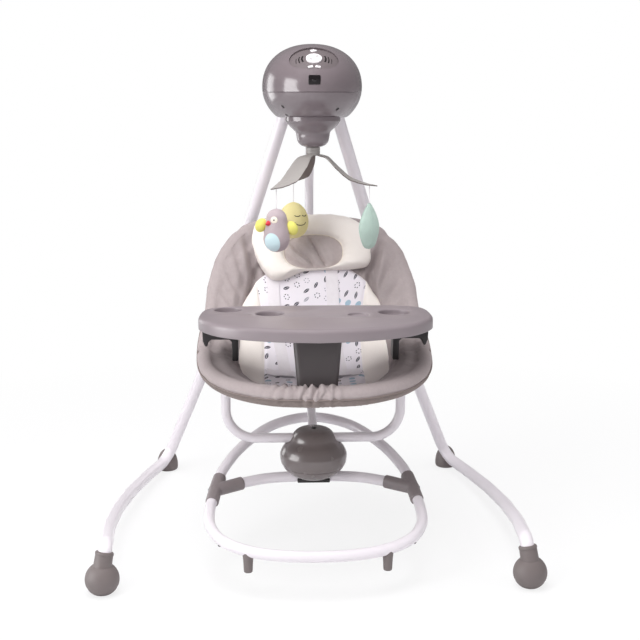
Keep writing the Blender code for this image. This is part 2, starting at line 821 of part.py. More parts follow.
def make_head_shells():
    outer = dome_profile(0.0) + [(bowl_radius_at(HEAD_SPLIT_Z, 0.0), HEAD_SPLIT_Z)]
    inner = dome_profile(HEAD_WALL) + [(bowl_radius_at(HEAD_SPLIT_Z, HEAD_WALL), HEAD_SPLIT_Z)]
    top = turned(outer + inner[::-1], HEAD_STEPS, (0.0, HEAD_Y, 0.0), stretch=head_stretch())
    cut(top, panel_oval(-GAP, -0.030, 0.040), window_block(GAP))
    finish(top, "head_top_shell", "taupe_plastic")
    rim = HEAD_SPLIT_Z - GAP
    steps = [rim - (rim - HEAD_FLOOR_Z) * share for share in (0.0, 0.35, 0.7, 1.0)]
    floor = HEAD_FLOOR_Z + HEAD_FLOOR_THICK
    inner_steps = [rim - (rim - floor) * share for share in (0.0, 0.35, 0.7, 1.0)]
    outer = [(bowl_radius_at(height, 0.0), height) for height in steps]
    inner = [(bowl_radius_at(height, HEAD_WALL), height) for height in inner_steps]
    profile = [(0.0, HEAD_FLOOR_Z)] + outer[::-1] + inner + [(0.0, floor)]
    base = turned(profile, HEAD_STEPS, (0.0, HEAD_Y, 0.0), stretch=head_stretch())
    slot_length = ARM_SLOT_REAR - ARM_SLOT_FRONT
    slot_middle = (ARM_SLOT_REAR + ARM_SLOT_FRONT) / 2.0
    slot = block(
        (0.0, slot_middle, HEAD_FLOOR_Z),
        (2.0 * ARM_SLOT_HALF_WIDTH, slot_length, 0.04),
    )
    inlet_hole = rod(
        INLET_PLACE,
        INLET_PLACE + Vector((0.0, 0.05, 0.0)),
        INLET_RADIUS + GAP,
    )
    cut(base, *tube_holes(0.02), slot, inlet_hole)
    finish(base, "head_base_shell", "taupe_plastic")


def button_rod(place, radius, sides, extra=0.0):
    centre, frame = button_frame(place)
    reach = 0.01 if extra else 0.0
    low = centre - frame.col[2] * (BUTTON_DEPTH + reach)
    high = centre + frame.col[2] * (BUTTON_PROUD + reach)
    return rod(low, high, radius + extra, sides)


def key_block(side, extra=0.0):
    centre, frame = button_frame((side * KEY_ASIDE, KEY_Y))
    size = Vector((KEY_WIDTH, KEY_LENGTH, BUTTON_DEPTH + BUTTON_PROUD))
    if extra:
        size += Vector((2.0 * extra, 2.0 * extra, 0.01))
    return block(centre + frame.col[2] * (BUTTON_PROUD - BUTTON_DEPTH) / 2.0, size, frame)


def make_panel():
    panel = panel_oval(0.0, -0.030, 0.035)
    boolean(panel, head_solid(0.0, PANEL_DROP), "INTERSECT")
    cut(panel, head_solid(PANEL_THICK, PANEL_DROP))
    for side in (-1, 1):
        for index, length in enumerate(SLOT_LENGTHS):
            centre = on_panel(side * (SLOT_START + index * SLOT_PITCH), 0.0, 0.0)
            cut(panel, block(centre, (SLOT_WIDTH, length, 0.02), panel_frame()))
    cut(panel, button_rod(POWER_BUTTON_PLACE, POWER_BUTTON_RADIUS, 14, GAP))
    cut(panel, button_rod(MODE_PAD_PLACE, MODE_PAD_RADIUS, 20, GAP))
    cut(panel, key_block(-1, GAP), key_block(1, GAP))
    for up in (-BOARD_POST_PLACE[1], BOARD_POST_PLACE[1]):
        post = rod(
            on_panel(BOARD_POST_PLACE[0], up, -PANEL_THICK / 2.0),
            on_panel(BOARD_POST_PLACE[0], up, GAP - BOARD_BELOW),
            BOARD_POST_RADIUS,
            8,
        )
        join(panel, post)
    finish(panel, "control_panel", "taupe_plastic")
    power = button_rod(POWER_BUTTON_PLACE, POWER_BUTTON_RADIUS, 14)
    finish(power, "power_button", "white_plastic", button_frame(POWER_BUTTON_PLACE)[0])
    pad = button_rod(MODE_PAD_PLACE, MODE_PAD_RADIUS, 20)
    finish(pad, "mode_pad", "white_plastic", button_frame(MODE_PAD_PLACE)[0])
    for side, label in ((-1, "left"), (1, "right")):
        place = button_frame((side * KEY_ASIDE, KEY_Y))[0]
        finish(key_block(side), label + "_key", "white_plastic", place)
    board = block(
        on_panel(0.0, 0.0, -BOARD_BELOW - BOARD_THICK / 2.0),
        (2.0 * BOARD_HALF_WIDTH, 2.0 * BOARD_HALF_LENGTH, BOARD_THICK),
        panel_frame(),
    )
    finish(board, "circuit_board", "circuit_green")
    speaker = rod(
        on_panel(-SPEAKER_ASIDE, 0.0, -SPEAKER_BELOW),
        on_panel(-SPEAKER_ASIDE, 0.0, -SPEAKER_BELOW - SPEAKER_DEPTH),
        SPEAKER_RADIUS,
        16,
        SPEAKER_RADIUS * 0.6,
    )
    finish(speaker, "speaker", "black_plastic")
    finish(window_block(0.0), "sensor_window", "black_plastic")


def make_inlet():
    barrel = rod(INLET_PLACE, INLET_PLACE + Vector((0.0, INLET_LENGTH, 0.0)), INLET_RADIUS)
    bore_start = INLET_PLACE + Vector((0.0, INLET_LENGTH * 0.35, 0.0))
    bore_end = INLET_PLACE + Vector((0.0, INLET_LENGTH + 0.01, 0.0))
    cut(barrel, rod(bore_start, bore_end, INLET_RADIUS * 0.55))
    finish(barrel, "power_inlet", "black_plastic")


# Swing pivot and drive

def gear_outline(teeth, first, last, turn):
    # Trapezoid teeth from the first to the last index, as (x, z) points about the gear's own centre.
    pitch_radius = GEAR_MODULE * teeth / 2.0
    pitch = 2.0 * math.pi / teeth
    root = pitch_radius - TOOTH_DEDENDUM
    tip = pitch_radius + TOOTH_ADDENDUM
    points = []
    for index in range(first, last + 1):
        middle = turn + index * pitch
        for share, radius in ((-0.25, root), (-0.11, tip), (0.11, tip), (0.25, root)):
            angle = middle + share * pitch
            points.append((radius * math.sin(angle), radius * math.cos(angle)))
    return points


def plate(points, centre_z, front, thick):
    # A flat plate in the XZ plane, from its outline.
    bm = bmesh.new()
    verts = [bm.verts.new((x, front, centre_z + z)) for x, z in points]
    face = bm.faces.new(verts)
    made = bmesh.ops.extrude_face_region(bm, geom=[face])
    moved = [item for item in made["geom"] if isinstance(item, bmesh.types.BMVert)]
    bmesh.ops.translate(bm, vec=(0.0, thick, 0.0), verts=moved)
    return mesh_object("plate", bm)


def along_y(front, rear, radius, height, sides=14):
    return rod((0.0, front, height), (0.0, rear, height), radius, sides)


def gear_centre_z():
    return PIVOT_Z + GEAR_MODULE * (PINION_TEETH + SECTOR_TEETH) / 2.0


def make_drive():
    floor = HEAD_FLOOR_Z + HEAD_FLOOR_THICK + GAP
    top = gear_centre_z() - MOTOR_RADIUS * 0.70
    chassis = block(
        (0.0, (CHASSIS_FRONT + CHASSIS_REAR) / 2.0, (floor + top) / 2.0),
        (2.0 * CHASSIS_HALF_WIDTH, CHASSIS_REAR - CHASSIS_FRONT, top - floor),
    )
    boolean(chassis, head_solid(HEAD_WALL + GAP, 0.0, floor), "INTERSECT")
    cut(chassis, *tube_holes(0.03))
    cut(chassis, along_y(-0.01, 0.06, AXLE_RADIUS + GAP, PIVOT_Z))
    cut(chassis, along_y(-0.02, 0.06, MOTOR_RADIUS + GAP, gear_centre_z(), 24))
    finish(chassis, "head_chassis", "bare_steel")
    axle = along_y(CHASSIS_FRONT + 0.002, AXLE_REAR, AXLE_RADIUS, PIVOT_Z)
    join(axle, along_y(HUB_REAR + GAP, AXLE_REAR + 0.001, AXLE_HEAD_RADIUS, PIVOT_Z))
    finish(axle, "swing_axle", "bare_steel")
    bush = along_y(HUB_FRONT, HUB_REAR, BUSH_RADIUS, PIVOT_Z)
    cut(bush, along_y(HUB_FRONT - 0.01, HUB_REAR + 0.01, AXLE_RADIUS + GAP, PIVOT_Z))
    finish(bush, "axle_bush", "brass")
    hub = along_y(HUB_FRONT, HUB_REAR, HUB_RADIUS, PIVOT_Z, 16)
    arm_y = ARM_CORNERS[0].y
    join(hub, rod((0.0, arm_y, PIVOT_Z), (0.0, arm_y, SOCKET_BOTTOM), SOCKET_RADIUS, 14))
    half = SECTOR_SHOWN // 2
    sector = [(0.0, -HUB_RADIUS * 0.5)] + gear_outline(SECTOR_TEETH, -half, half, 0.0)
    join(hub, plate(sector, PIVOT_Z, GEAR_FRONT, GEAR_THICK))
    cut(hub, along_y(HUB_FRONT - 0.01, HUB_REAR + 0.01, BUSH_RADIUS + GAP, PIVOT_Z))
    arm_top = Vector((0.0, arm_y, ARM_CORNERS[0].z + GAP))
    socket_end = Vector((0.0, arm_y, SOCKET_BOTTOM - 0.01))
    cut(hub, swept([arm_top, socket_end], ARM_TUBE / 2.0 + GAP))
    finish(hub, "swing_hub", "black_plastic", (0.0, arm_y, PIVOT_Z))
    centre = gear_centre_z()
    half_turn = math.pi / PINION_TEETH
    outline = gear_outline(PINION_TEETH, 0, PINION_TEETH - 1, half_turn + math.pi)
    pinion = plate(outline, centre, GEAR_FRONT, GEAR_THICK)
    shaft_start = MOTOR_REAR - PINION_SHAFT_IN_MOTOR
    join(pinion, along_y(shaft_start, GEAR_FRONT + 0.002, PINION_SHAFT_RADIUS, centre, 12))
    finish(pinion, "drive_pinion", "brass", (0.0, GEAR_FRONT, centre))
    motor = along_y(MOTOR_FRONT, MOTOR_REAR, MOTOR_RADIUS, centre, 24)
    cut(motor, along_y(shaft_start - GAP, 0.06, PINION_SHAFT_RADIUS + GAP, centre, 12))
    finish(motor, "drive_motor", "bare_steel")


# Swing arm, pod and seat carrier

def arm_path():
    return bent_path(list(ARM_CORNERS), list(ARM_BENDS))


def carrier_path(extra=0.0):
    half = CARRIER_HALF_WIDTH
    corners = [
        Vector((half, POD_Y, CARRIER_TOP_Z + extra)),
        Vector((half, POD_Y, CARRIER_BOTTOM_Z)),
        Vector((-half, POD_Y, CARRIER_BOTTOM_Z)),
        Vector((-half, POD_Y, CARRIER_TOP_Z + extra)),
    ]
    return bent_path(corners, (CARRIER_BEND, CARRIER_BEND), 5)


def cross_path():
    return smooth_path(mirrored(CROSS_HALF), 10)


def pod_outer():
    shoulder = POD_SHOULDER_RADIUS
    return [
        (0.0, POD_TOP_Z),
        (shoulder * 0.48, POD_TOP_Z - 0.0012),
        (shoulder * 0.78, POD_TOP_Z - 0.0065),
        (shoulder * 0.97, POD_TOP_Z - 0.0170),
        (shoulder * 1.06, POD_TOP_Z - 0.0280),
        (POD_RADIUS * 0.885, POD_WIDEST_Z + 0.0200),
        (POD_RADIUS * 0.985, POD_WIDEST_Z + 0.0070),
        (POD_RADIUS, POD_WIDEST_Z),
        (POD_RADIUS * 0.975, POD_SEAM_Z + 0.0070),
        (POD_RADIUS * 0.910, POD_SEAM_Z),
    ]


def make_pod():
    outer = pod_outer()
    kept = outer[::2]
    inner = [(max(radius - POD_WALL, 0.0), height - POD_WALL) for radius, height in kept]
    inner.append((outer[-1][0] - POD_WALL, POD_SEAM_Z))
    place = (0.0, POD_Y, 0.0)
    upper = turned(outer + inner[::-1], POD_STEPS, place)
    cut(upper, swept(carrier_path(), CARRIER_TUBE / 2.0 + GAP))
    cut(upper, swept(arm_path(), ARM_TUBE / 2.0 + GAP))
    button_y = POD_Y - RELEASE_FORWARD
    hole = rod((0.0, button_y, POD_TOP_Z - 0.02), (0.0, button_y, POD_TOP_Z + 0.01), RELEASE_RADIUS + GAP)
    cut(upper, hole)
    finish(upper, "pod_upper_shell", "foot_rubber")
    button = rod(
        (0.0, button_y, POD_TOP_Z - RELEASE_DEPTH),
        (0.0, button_y, POD_TOP_Z + RELEASE_PROUD),
        RELEASE_RADIUS,
    )
    finish(button, "release_button", "black_plastic", (0.0, button_y, POD_TOP_Z))
    low = [
        (POD_RADIUS * 0.910, POD_SEAM_Z - GAP),
        (POD_RADIUS * 0.800, POD_SEAM_Z - 0.0110),
        (POD_RADIUS * 0.620, POD_BOTTOM_Z + 0.0055),
        (POD_RADIUS * 0.440, POD_BOTTOM_Z),
    ]
    inside = [
        (POD_RADIUS * 0.420, POD_BOTTOM_Z + POD_WALL),
        (POD_RADIUS * 0.590, POD_BOTTOM_Z + 0.0055 + POD_WALL),
        (POD_RADIUS * 0.800 - POD_WALL, POD_SEAM_Z - 0.0100),
        (POD_RADIUS * 0.910 - POD_WALL, POD_SEAM_Z - GAP),
    ]
    profile = [(0.0, POD_BOTTOM_Z)] + low[::-1] + inside[::-1] + [(0.0, POD_BOTTOM_Z + POD_WALL)]
    lower = turned(profile, POD_STEPS, place)
    cut(lower, swept(cross_path(), ROCKER_TUBE / 2.0 + GAP))
    finish(lower, "pod_lower_shell", "foot_rubber")
    clip_top = POD_BOTTOM_Z - GAP
    clip = block(
        (0.0, POD_Y, (clip_top + CLIP_BOTTOM_Z) / 2.0),
        (CLIP_WIDTH, CLIP_LENGTH, clip_top - CLIP_BOTTOM_Z),
    )
    cut(clip, swept(cross_path(), ROCKER_TUBE / 2.0 + GAP))
    finish(clip, "pod_clip", "black_plastic")


def hoop_point(side, place):
    return on_side(curve_point(HOOP_HALF, place), side)


def hoop_run(start, end, count, side=1):
    return [hoop_point(side, start + (end - start) * index / count) for index in range(count + 1)]


def hoop_tube(extra=0.0, wall=None):
    # The seat frame, a single bent tube whose ends meet at the middle of the front.
    path = mirrored(hoop_run(HOOP_START, 1.0, HOOP_POINTS))
    path[0] = path[0] + (path[0] - path[1]).normalized() * extra
    path[-1] = path[-1] + (path[-1] - path[-2]).normalized() * extra
    return swept(path, HOOP_TUBE / 2.0 + extra, wall=wall)


def clamp_ends(side, extra=0.0):
    # The stretch of the seat frame that the recline hinge's clamp holds.
    middle = hoop_point(side, CLAMP_AT)
    ahead = (hoop_point(side, CLAMP_AT + 0.02) - hoop_point(side, CLAMP_AT - 0.02)).normalized()
    reach = CLAMP_LENGTH / 2.0 + extra
    return middle - ahead * reach, middle + ahead * reach


def cheek_parts(side, extra=0.0):
    inner_x = CARRIER_HALF_WIDTH + HINGE_BASE_SIZE.x / 2.0 + GAP
    axis = Vector((side * (inner_x + CHEEK_THICK / 2.0), POD_Y, HINGE_Z))
    half = Vector((side * (CHEEK_THICK / 2.0 + extra), 0.0, 0.0))
    disc = rod(axis - half, axis + half, CHEEK_DISC_RADIUS + extra, 16)
    low, high = clamp_ends(side, extra)
    clamp = rod(low, high, CLAMP_RADIUS + extra, 10)
    strut = rod(axis, (low + high) / 2.0, CHEEK_STRUT_RADIUS + extra, 8)
    return disc, strut, clamp


def make_carrier():
    carrier = swept(carrier_path(), CARRIER_TUBE / 2.0, wall=CARRIER_WALL)
    finish(carrier, "seat_u_tube", "white_steel")
    for side, label in ((-1, "left"), (1, "right")):
        half = HINGE_BASE_SIZE / 2.0
        centre = Vector((side * CARRIER_HALF_WIDTH, POD_Y, HINGE_Z))
        base = block(centre, HINGE_BASE_SIZE, bevel=0.003)
        inner_x = CARRIER_HALF_WIDTH + half.x
        pin_end = inner_x + GAP + CHEEK_THICK + PIN_PROUD
        join(base, rod((side * (inner_x - 0.004), POD_Y, HINGE_Z), (side * pin_end, POD_Y, HINGE_Z), HINGE_PIN_RADIUS))
        cut(base, swept(carrier_path(2.0 * GAP), CARRIER_TUBE / 2.0 + GAP))
        finish(base, label + "_recline_base", "black_plastic")
        disc, strut, clamp = cheek_parts(side)
        cheek = join(disc, strut, clamp)
        cut(cheek, hoop_tube(GAP))
        clear = half.x + GAP
        cut(cheek, block(centre, (2.0 * clear, 0.08, 0.10)))
        cut(cheek, rod((side * 0.17, POD_Y, HINGE_Z), (side * 0.25, POD_Y, HINGE_Z), HINGE_PIN_RADIUS + GAP))
        finish(cheek, label + "_recline_cheek", "black_plastic", (0.0, POD_Y, HINGE_Z))


# Rocker base

def loop_path():
    return smooth_path(mirrored(LOOP_HALF), 18)


def arch_path():
    return smooth_path(mirrored(ARCH_HALF), 12)


def make_rocker():
    finish(swept(loop_path(), ROCKER_TUBE / 2.0, wall=ROCKER_WALL), "rocker_loop", "white_steel")
    finish(swept(arch_path(), ROCKER_TUBE / 2.0, wall=ROCKER_WALL), "rocker_arch", "white_steel")
    finish(swept(cross_path(), ROCKER_TUBE / 2.0, wall=ROCKER_WALL), "rocker_cross_tube", "white_steel")
    for side, label in ((-1, "left"), (1, "right")):
        loop_end = on_side(LOOP_HALF[0], side)
        arch_end = on_side(ARCH_HALF[0], side)
        cross_end = on_side(CROSS_HALF[0], side)
        into_loop = (on_side(LOOP_HALF[1], side) - loop_end).normalized()
        into_arch = (on_side(ARCH_HALF[1], side) - arch_end).normalized()
        into_cross = (on_side(CROSS_HALF[1], side) - cross_end).normalized()
        middle = (loop_end + arch_end) / 2.0
        sleeve = rod(loop_end + into_loop * CONNECTOR_OVERLAP, middle, CONNECTOR_RADIUS, 10)
        upper = rod(middle, arch_end + into_arch * CONNECTOR_OVERLAP, CONNECTOR_RADIUS, 10)
        branch = rod(middle, cross_end + into_cross * CONNECTOR_OVERLAP, CONNECTOR_RADIUS, 10)
        join(sleeve, upper, branch)
        outer = ROCKER_TUBE / 2.0 + GAP
        back_up = GAP * 2.0
        cut(sleeve, swept([loop_end - into_loop * back_up] + loop_path_from(side), outer))
        cut(sleeve, swept([arch_end - into_arch * back_up] + arch_path_from(side), outer))
        cut(sleeve, swept([cross_end - into_cross * back_up] + cross_path_from(side), outer))
        finish(sleeve, label + "_connector", "taupe_plastic")
        top = path_at_x(loop_path(), side * PEG_X)
        bottom = Vector((top.x, top.y, PEG_BOTTOM_Z))
        peg = rod(bottom, top, PEG_BOTTOM_RADIUS, 14, PEG_TOP_RADIUS)
        cut(peg, swept(loop_path(), ROCKER_TUBE / 2.0 + GAP))
        finish(peg, label + "_rocker_peg", "foot_rubber")


def side_part(path, side):
    # The half of a mirrored path on one side, starting from its end on that side.
    half = path[: len(path) // 2]
    return half if side > 0 else path[::-1][: len(path) // 2]


def loop_path_from(side):
    return side_part(loop_path(), side)


def arch_path_from(side):
    return side_part(arch_path(), side)


def cross_path_from(side):
    return side_part(cross_path(), side)


def path_at_x(path, x):
    for first, second in zip(path, path[1:]):
        if (first.x - x) * (second.x - x) <= 0.0 and first.x != second.x:
            return first.lerp(second, (x - first.x) / (second.x - first.x))
    return path[0]


# Seat

def sling_point(along, across):
    # along runs from the front lip to the top of the back, across from -1 to 1 between the frame's sides.
    side = hoop_point(1, along)
    middle = curve_point(SLING_MIDDLE, along)
    share = across * across
    return Vector((
        across * side.x,
        middle.y + (side.y - middle.y) * share,
        middle.z + (side.z - middle.z) * share,
    ))


def sling_normal(along, across):
    step = 0.01
    lengthwise = sling_point(along + step, across) - sling_point(along - step, across)
    widthwise = sling_point(along, across + step) - sling_point(along, across - step)
    return widthwise.cross(lengthwise).normalized()


def sheet_solid(rows, thick, outward):
    # A closed sheet from rows of points; the thickness goes to the normals' side or away from it.
    bm = bmesh.new()
    grid = [[bm.verts.new(point) for point in row] for row in rows]
    for low, high in zip(grid, grid[1:]):
        for index in range(len(low) - 1):
            bm.faces.new((low[index], low[index + 1], high[index + 1], high[index]))
    mesh = bpy.data.meshes.new("sheet")
    bm.to_mesh(mesh)
    bm.free()
    obj = new_object("sheet", mesh)
    shell = obj.modifiers.new("thickness", "SOLIDIFY")
    shell.thickness = thick
    shell.offset = 1.0 if outward else -1.0
    shell.use_even_offset = False
    return bake(obj)


def sling_row(index):
    # One row of the sling's corner points, from the left side to the right.
    along = SLING_START + (SLING_END - SLING_START) * index / SLING_ROWS
    side = hoop_point(1, along)
    middle = curve_point(SLING_MIDDLE, along)
    edge = 1.0 - SLING_EDGE / (side - middle).length
    row = []
    for column in range(SLING_COLUMNS + 1):
        across = edge * (2.0 * column / SLING_COLUMNS - 1.0)
        row.append((sling_point(along, across), sling_normal(along, across)))
    return row


def laid_point(index, x, lift):
    # A point lifted off the sling's own facets, in one of its rows.
    row = sling_row(index)
    for (low, low_normal), (high, high_normal) in zip(row, row[1:]):
        if low.x <= x <= high.x:
            share = (x - low.x) / (high.x - low.x)
            return low.lerp(high, share) + low_normal.lerp(high_normal, share).normalized() * lift
    place, normal = row[0] if x < 0.0 else row[-1]
    return place + normal * lift


def roll_tube(extra=0.0):
    path = mirrored(hoop_run(CLAMP_AT + CLAMP_FREE, 1.0, 9))
    return swept(path, ROLL_RADIUS + extra)


def lip_path():
    return mirrored(hoop_run(CLAMP_AT - CLAMP_FREE, 0.0, LIP_POINTS))


def lip_room():
    return swept(lip_path(), LIP_RADIUS + LIP_GATHER + 2.0 * GAP)


def make_seat():
    finish(hoop_tube(wall=HOOP_WALL), "seat_hoop", "white_steel", (0.0, POD_Y, HINGE_Z))
    rows = [[place for place, _ in sling_row(index)] for index in range(SLING_ROWS + 1)]
    pad = sheet_solid(rows, SLING_THICK, False)
    join(pad, roll_tube())
    cut(pad, hoop_tube(GAP), lip_room())
    for side in (-1, 1):
        cut(pad, *cheek_parts(side, 0.0008))
    finish(pad, "seat_pad", "taupe_fabric", (0.0, POD_Y, HINGE_Z))
    path = lip_path()
    factors = []
    for point in path:
        share = min(abs(point.x) / 0.21, 1.0)
        radius = LIP_RADIUS + (LIP_END_RADIUS - LIP_RADIUS) * share**4
        if abs(point.x) < LIP_GATHERED_HALF:
            radius += LIP_GATHER * math.cos(point.x / LIP_GATHERED_HALF * math.pi * LIP_GATHERS / 2.0)
        factors.append(radius / LIP_RADIUS)
    lip = swept(path, LIP_RADIUS, factors=factors)
    cut(lip, hoop_tube(GAP))
    finish(lip, "seat_lip", "taupe_fabric", (0.0, POD_Y, HINGE_Z))
    rows = []
    for index in range(INSERT_ROWS[0], INSERT_ROWS[1] + 1):
        shares = [column / INSERT_COLUMNS * 2.0 - 1.0 for column in range(INSERT_COLUMNS + 1)]
        rows.append([laid_point(index, share * INSERT_HALF_WIDTH, INSERT_LIFT) for share in shares])
    insert = sheet_solid(rows, INSERT_THICK, True)
    finish(insert, "print_insert", "print_fabric", (0.0, POD_Y, HINGE_Z))


def pillow_frame():
    # The back's plane: origin at the pillow's middle on the seat back, up along the back, out to the front.
    top = HOOP_HALF[-1]
    below = HOOP_HALF[-3]
    up = Vector((0.0, top.y - below.y, top.z - below.z)).normalized()
    out = Vector((0.0, -up.z, up.y))
    return top - up * PILLOW_BELOW_TOP + out * PILLOW_LIFT, up, out


def make_pillow():
    centre, up, out = pillow_frame()
    bm = bmesh.new()
    rings = (1.0, 0.95, 0.84, 0.68, 0.50, 0.30)
    heights = (0.0, 0.52, 0.86, 1.0, 0.88, 0.74)
    sides = 24
    loops = []
    for share, height in zip(rings, heights):
        loop = []
        for index in range(sides):
            angle = 2.0 * math.pi * index / sides
            squarish = 1.0 / (abs(math.cos(angle)) ** 2.6 + abs(math.sin(angle)) ** 2.6) ** (1.0 / 2.6)
            right = PILLOW_HALF_WIDTH * share * squarish * math.cos(angle)
            rise = PILLOW_HALF_HEIGHT * share * squarish * math.sin(angle)
            lift = PILLOW_THICK * (0.25 + 0.75 * height)
            loop.append(bm.verts.new(centre + Vector((right, 0, 0)) + up * rise + out * lift))
        loops.append(loop)
    back = []
    for index in range(sides):
        angle = 2.0 * math.pi * index / sides
        squarish = 1.0 / (abs(math.cos(angle)) ** 2.6 + abs(math.sin(angle)) ** 2.6) ** (1.0 / 2.6)
        right = PILLOW_HALF_WIDTH * 0.86 * squarish * math.cos(angle)
        rise = PILLOW_HALF_HEIGHT * 0.86 * squarish * math.sin(angle)
        back.append(bm.verts.new(centre + Vector((right, 0, 0)) + up * rise))
    for first, second in zip([back] + loops, loops):
        for index in range(sides):
            after = (index + 1) % sides
            bm.faces.new((first[index], first[after], second[after], second[index]))
    middle = bm.verts.new(centre + out * (PILLOW_THICK - PILLOW_DISH * 0.6))
    inner = loops[-1]
    for index in range(sides):
        bm.faces.new((inner[index], inner[(index + 1) % sides], middle))
    bm.faces.new(back[::-1])
    pillow = mesh_object("pillow", bm)
    cut(pillow, roll_tube(GAP))
    finish(pillow, "head_pillow", "cream_fabric", (0.0, POD_Y, HINGE_Z))


def strap(low_row, high_row, edges):
    # Webbing laid up the seat between two lines of constant width.
    rows = []
    for index in range(low_row, high_row + 1):
        rows.append([laid_point(index, x, STRAP_LIFT) for x in edges])
    return sheet_solid(rows, STRAP_THICK, True)


def make_harness():
    inner = STRAP_ASIDE - STRAP_WIDTH / 2.0
    outer = STRAP_ASIDE + STRAP_WIDTH / 2.0
    edges = [BELT_HALF * (column / 4.0 - 1.0) for column in range(9)]
    harness = strap(BELT_ROW, BELT_ROW + 1, edges)
    for side in (-1, 1):
        pair = sorted((side * inner, side * outer))
        join(harness, strap(BELT_ROW, STRAP_TOP_ROW, pair))
    finish(harness, "harness", "white_webbing", (0.0, POD_Y, HINGE_Z))


# Tray

def tray_outline(inset, count=28):
    right = smooth_path(TRAY_OUTLINE_HALF, count // 2)
    left = [Vector((-point.x, point.y, 0.0)) for point in right[1:-1]]
    outline = right + left[::-1]
    if not inset:
        return outline
    made = []
    for index, point in enumerate(outline):
        before = outline[index - 1]
        after = outline[(index + 1) % len(outline)]
        tangent = (after - before).normalized()
        made.append(point + Vector((-tangent.y, tangent.x, 0.0)) * inset)
    return made


def prism(outline, low, high, edge=0.0):
    bm = bmesh.new()
    verts = [bm.verts.new((point.x, point.y, low)) for point in outline]
    face = bm.faces.new(verts)
    made = bmesh.ops.extrude_face_region(bm, geom=[face])
    moved = [item for item in made["geom"] if isinstance(item, bmesh.types.BMVert)]
    bmesh.ops.translate(bm, vec=(0.0, 0.0, high - low), verts=moved)
    if edge:
        rim = [item for item in bm.edges if all(abs(vert.co.z - high) < MERGE for vert in item.verts)]
        bmesh.ops.bevel(
            bm,
            geom=rim,
            offset=edge,
            offset_type="OFFSET",
            segments=2,
            profile=0.5,
            affect="EDGES",
            material=-1,
        )
    return mesh_object("prism", bm)


def make_tray():
    tray = prism(tray_outline(0.0), TRAY_BOTTOM_Z, TRAY_TOP_Z, TRAY_EDGE)
    cut(tray, prism(tray_outline(TRAY_WALL), TRAY_BOTTOM_Z - 0.01, TRAY_TOP_Z - TRAY_WALL))
    for x, y in CUP_PLACES:
        wall = rod((x, y, CUP_FLOOR_Z - CUP_WALL), (x, y, TRAY_TOP_Z - 0.001), CUP_RADIUS + CUP_WALL, 16)
        join(tray, wall)
        cut(tray, rod((x, y, CUP_FLOOR_Z), (x, y, TRAY_TOP_Z + 0.01), CUP_RADIUS, 16))
    x, y = DISH_PLACE
    dish = rod((x, y, DISH_FLOOR_Z - CUP_WALL), (x, y, TRAY_TOP_Z - 0.001), DISH_RADIUS + CUP_WALL, 14)
    join(tray, dish)
    cut(tray, rod((x, y, DISH_FLOOR_Z), (x, y, TRAY_TOP_Z + 0.01), DISH_RADIUS, 14))
    finish(tray, "tray", "tray_plastic")
    top = TRAY_TOP_Z - TRAY_WALL - GAP
    bm = bmesh.new()
    corners = []
    levels = (
        (POST_BOTTOM_Z, POST_BOTTOM_WIDTH, POST_FRONT_BOTTOM, POST_DEPTH_BOTTOM),
        (top, POST_TOP_WIDTH, POST_FRONT_TOP, POST_DEPTH_TOP),
    )
    for height, width, front, depth in levels:
        half = width / 2.0
        places = ((-half, front), (half, front), (half, front + depth), (-half, front + depth))
        corners.append([bm.verts.new((x, y, height)) for x, y in places])
    low, high = corners
    bm.faces.new(low[::-1])
    bm.faces.new(high)
    for index in range(4):
        after = (index + 1) % 4
        bm.faces.new((low[index], low[after], high[after], high[index]))
    upright = [item for item in bm.edges if abs(item.verts[0].co.z - item.verts[1].co.z) > 0.01]
    bmesh.ops.bevel(
        bm,
        geom=upright,
        offset=POST_BEVEL,
        offset_type="OFFSET",
        segments=3,
        profile=0.5,
        affect="EDGES",
        material=-1,
    )
    post = mesh_object("post", bm)
    x, y = CUP_PLACES[1]
    cut(post, rod((x, y, CUP_FLOOR_Z - CUP_WALL - GAP), (x, y, TRAY_TOP_Z), CUP_RADIUS + CUP_WALL + GAP, 16))
    cut(post, lip_room())
    finish(post, "crotch_post", "black_plastic")


def make_tray_brackets():
    top = TRAY_BOTTOM_Z - GAP
    for side, label in ((-1, "left"), (1, "right")):
        centre = (side * BRACKET_X, BRACKET_Y, (top + BRACKET_BOTTOM_Z) / 2.0)
        size = (BRACKET_WIDTH, BRACKET_LENGTH, top - BRACKET_BOTTOM_Z)
        bracket = block(centre, size, bevel=0.003)
        cut(bracket, lip_room())
        finish(bracket, label + "_tray_bracket", "black_plastic", (0.0, POD_Y, HINGE_Z))


# Mobile and toys

def bowl_level(share):
    return BOWL_BOTTOM_Z + BOWL_HEIGHT * share


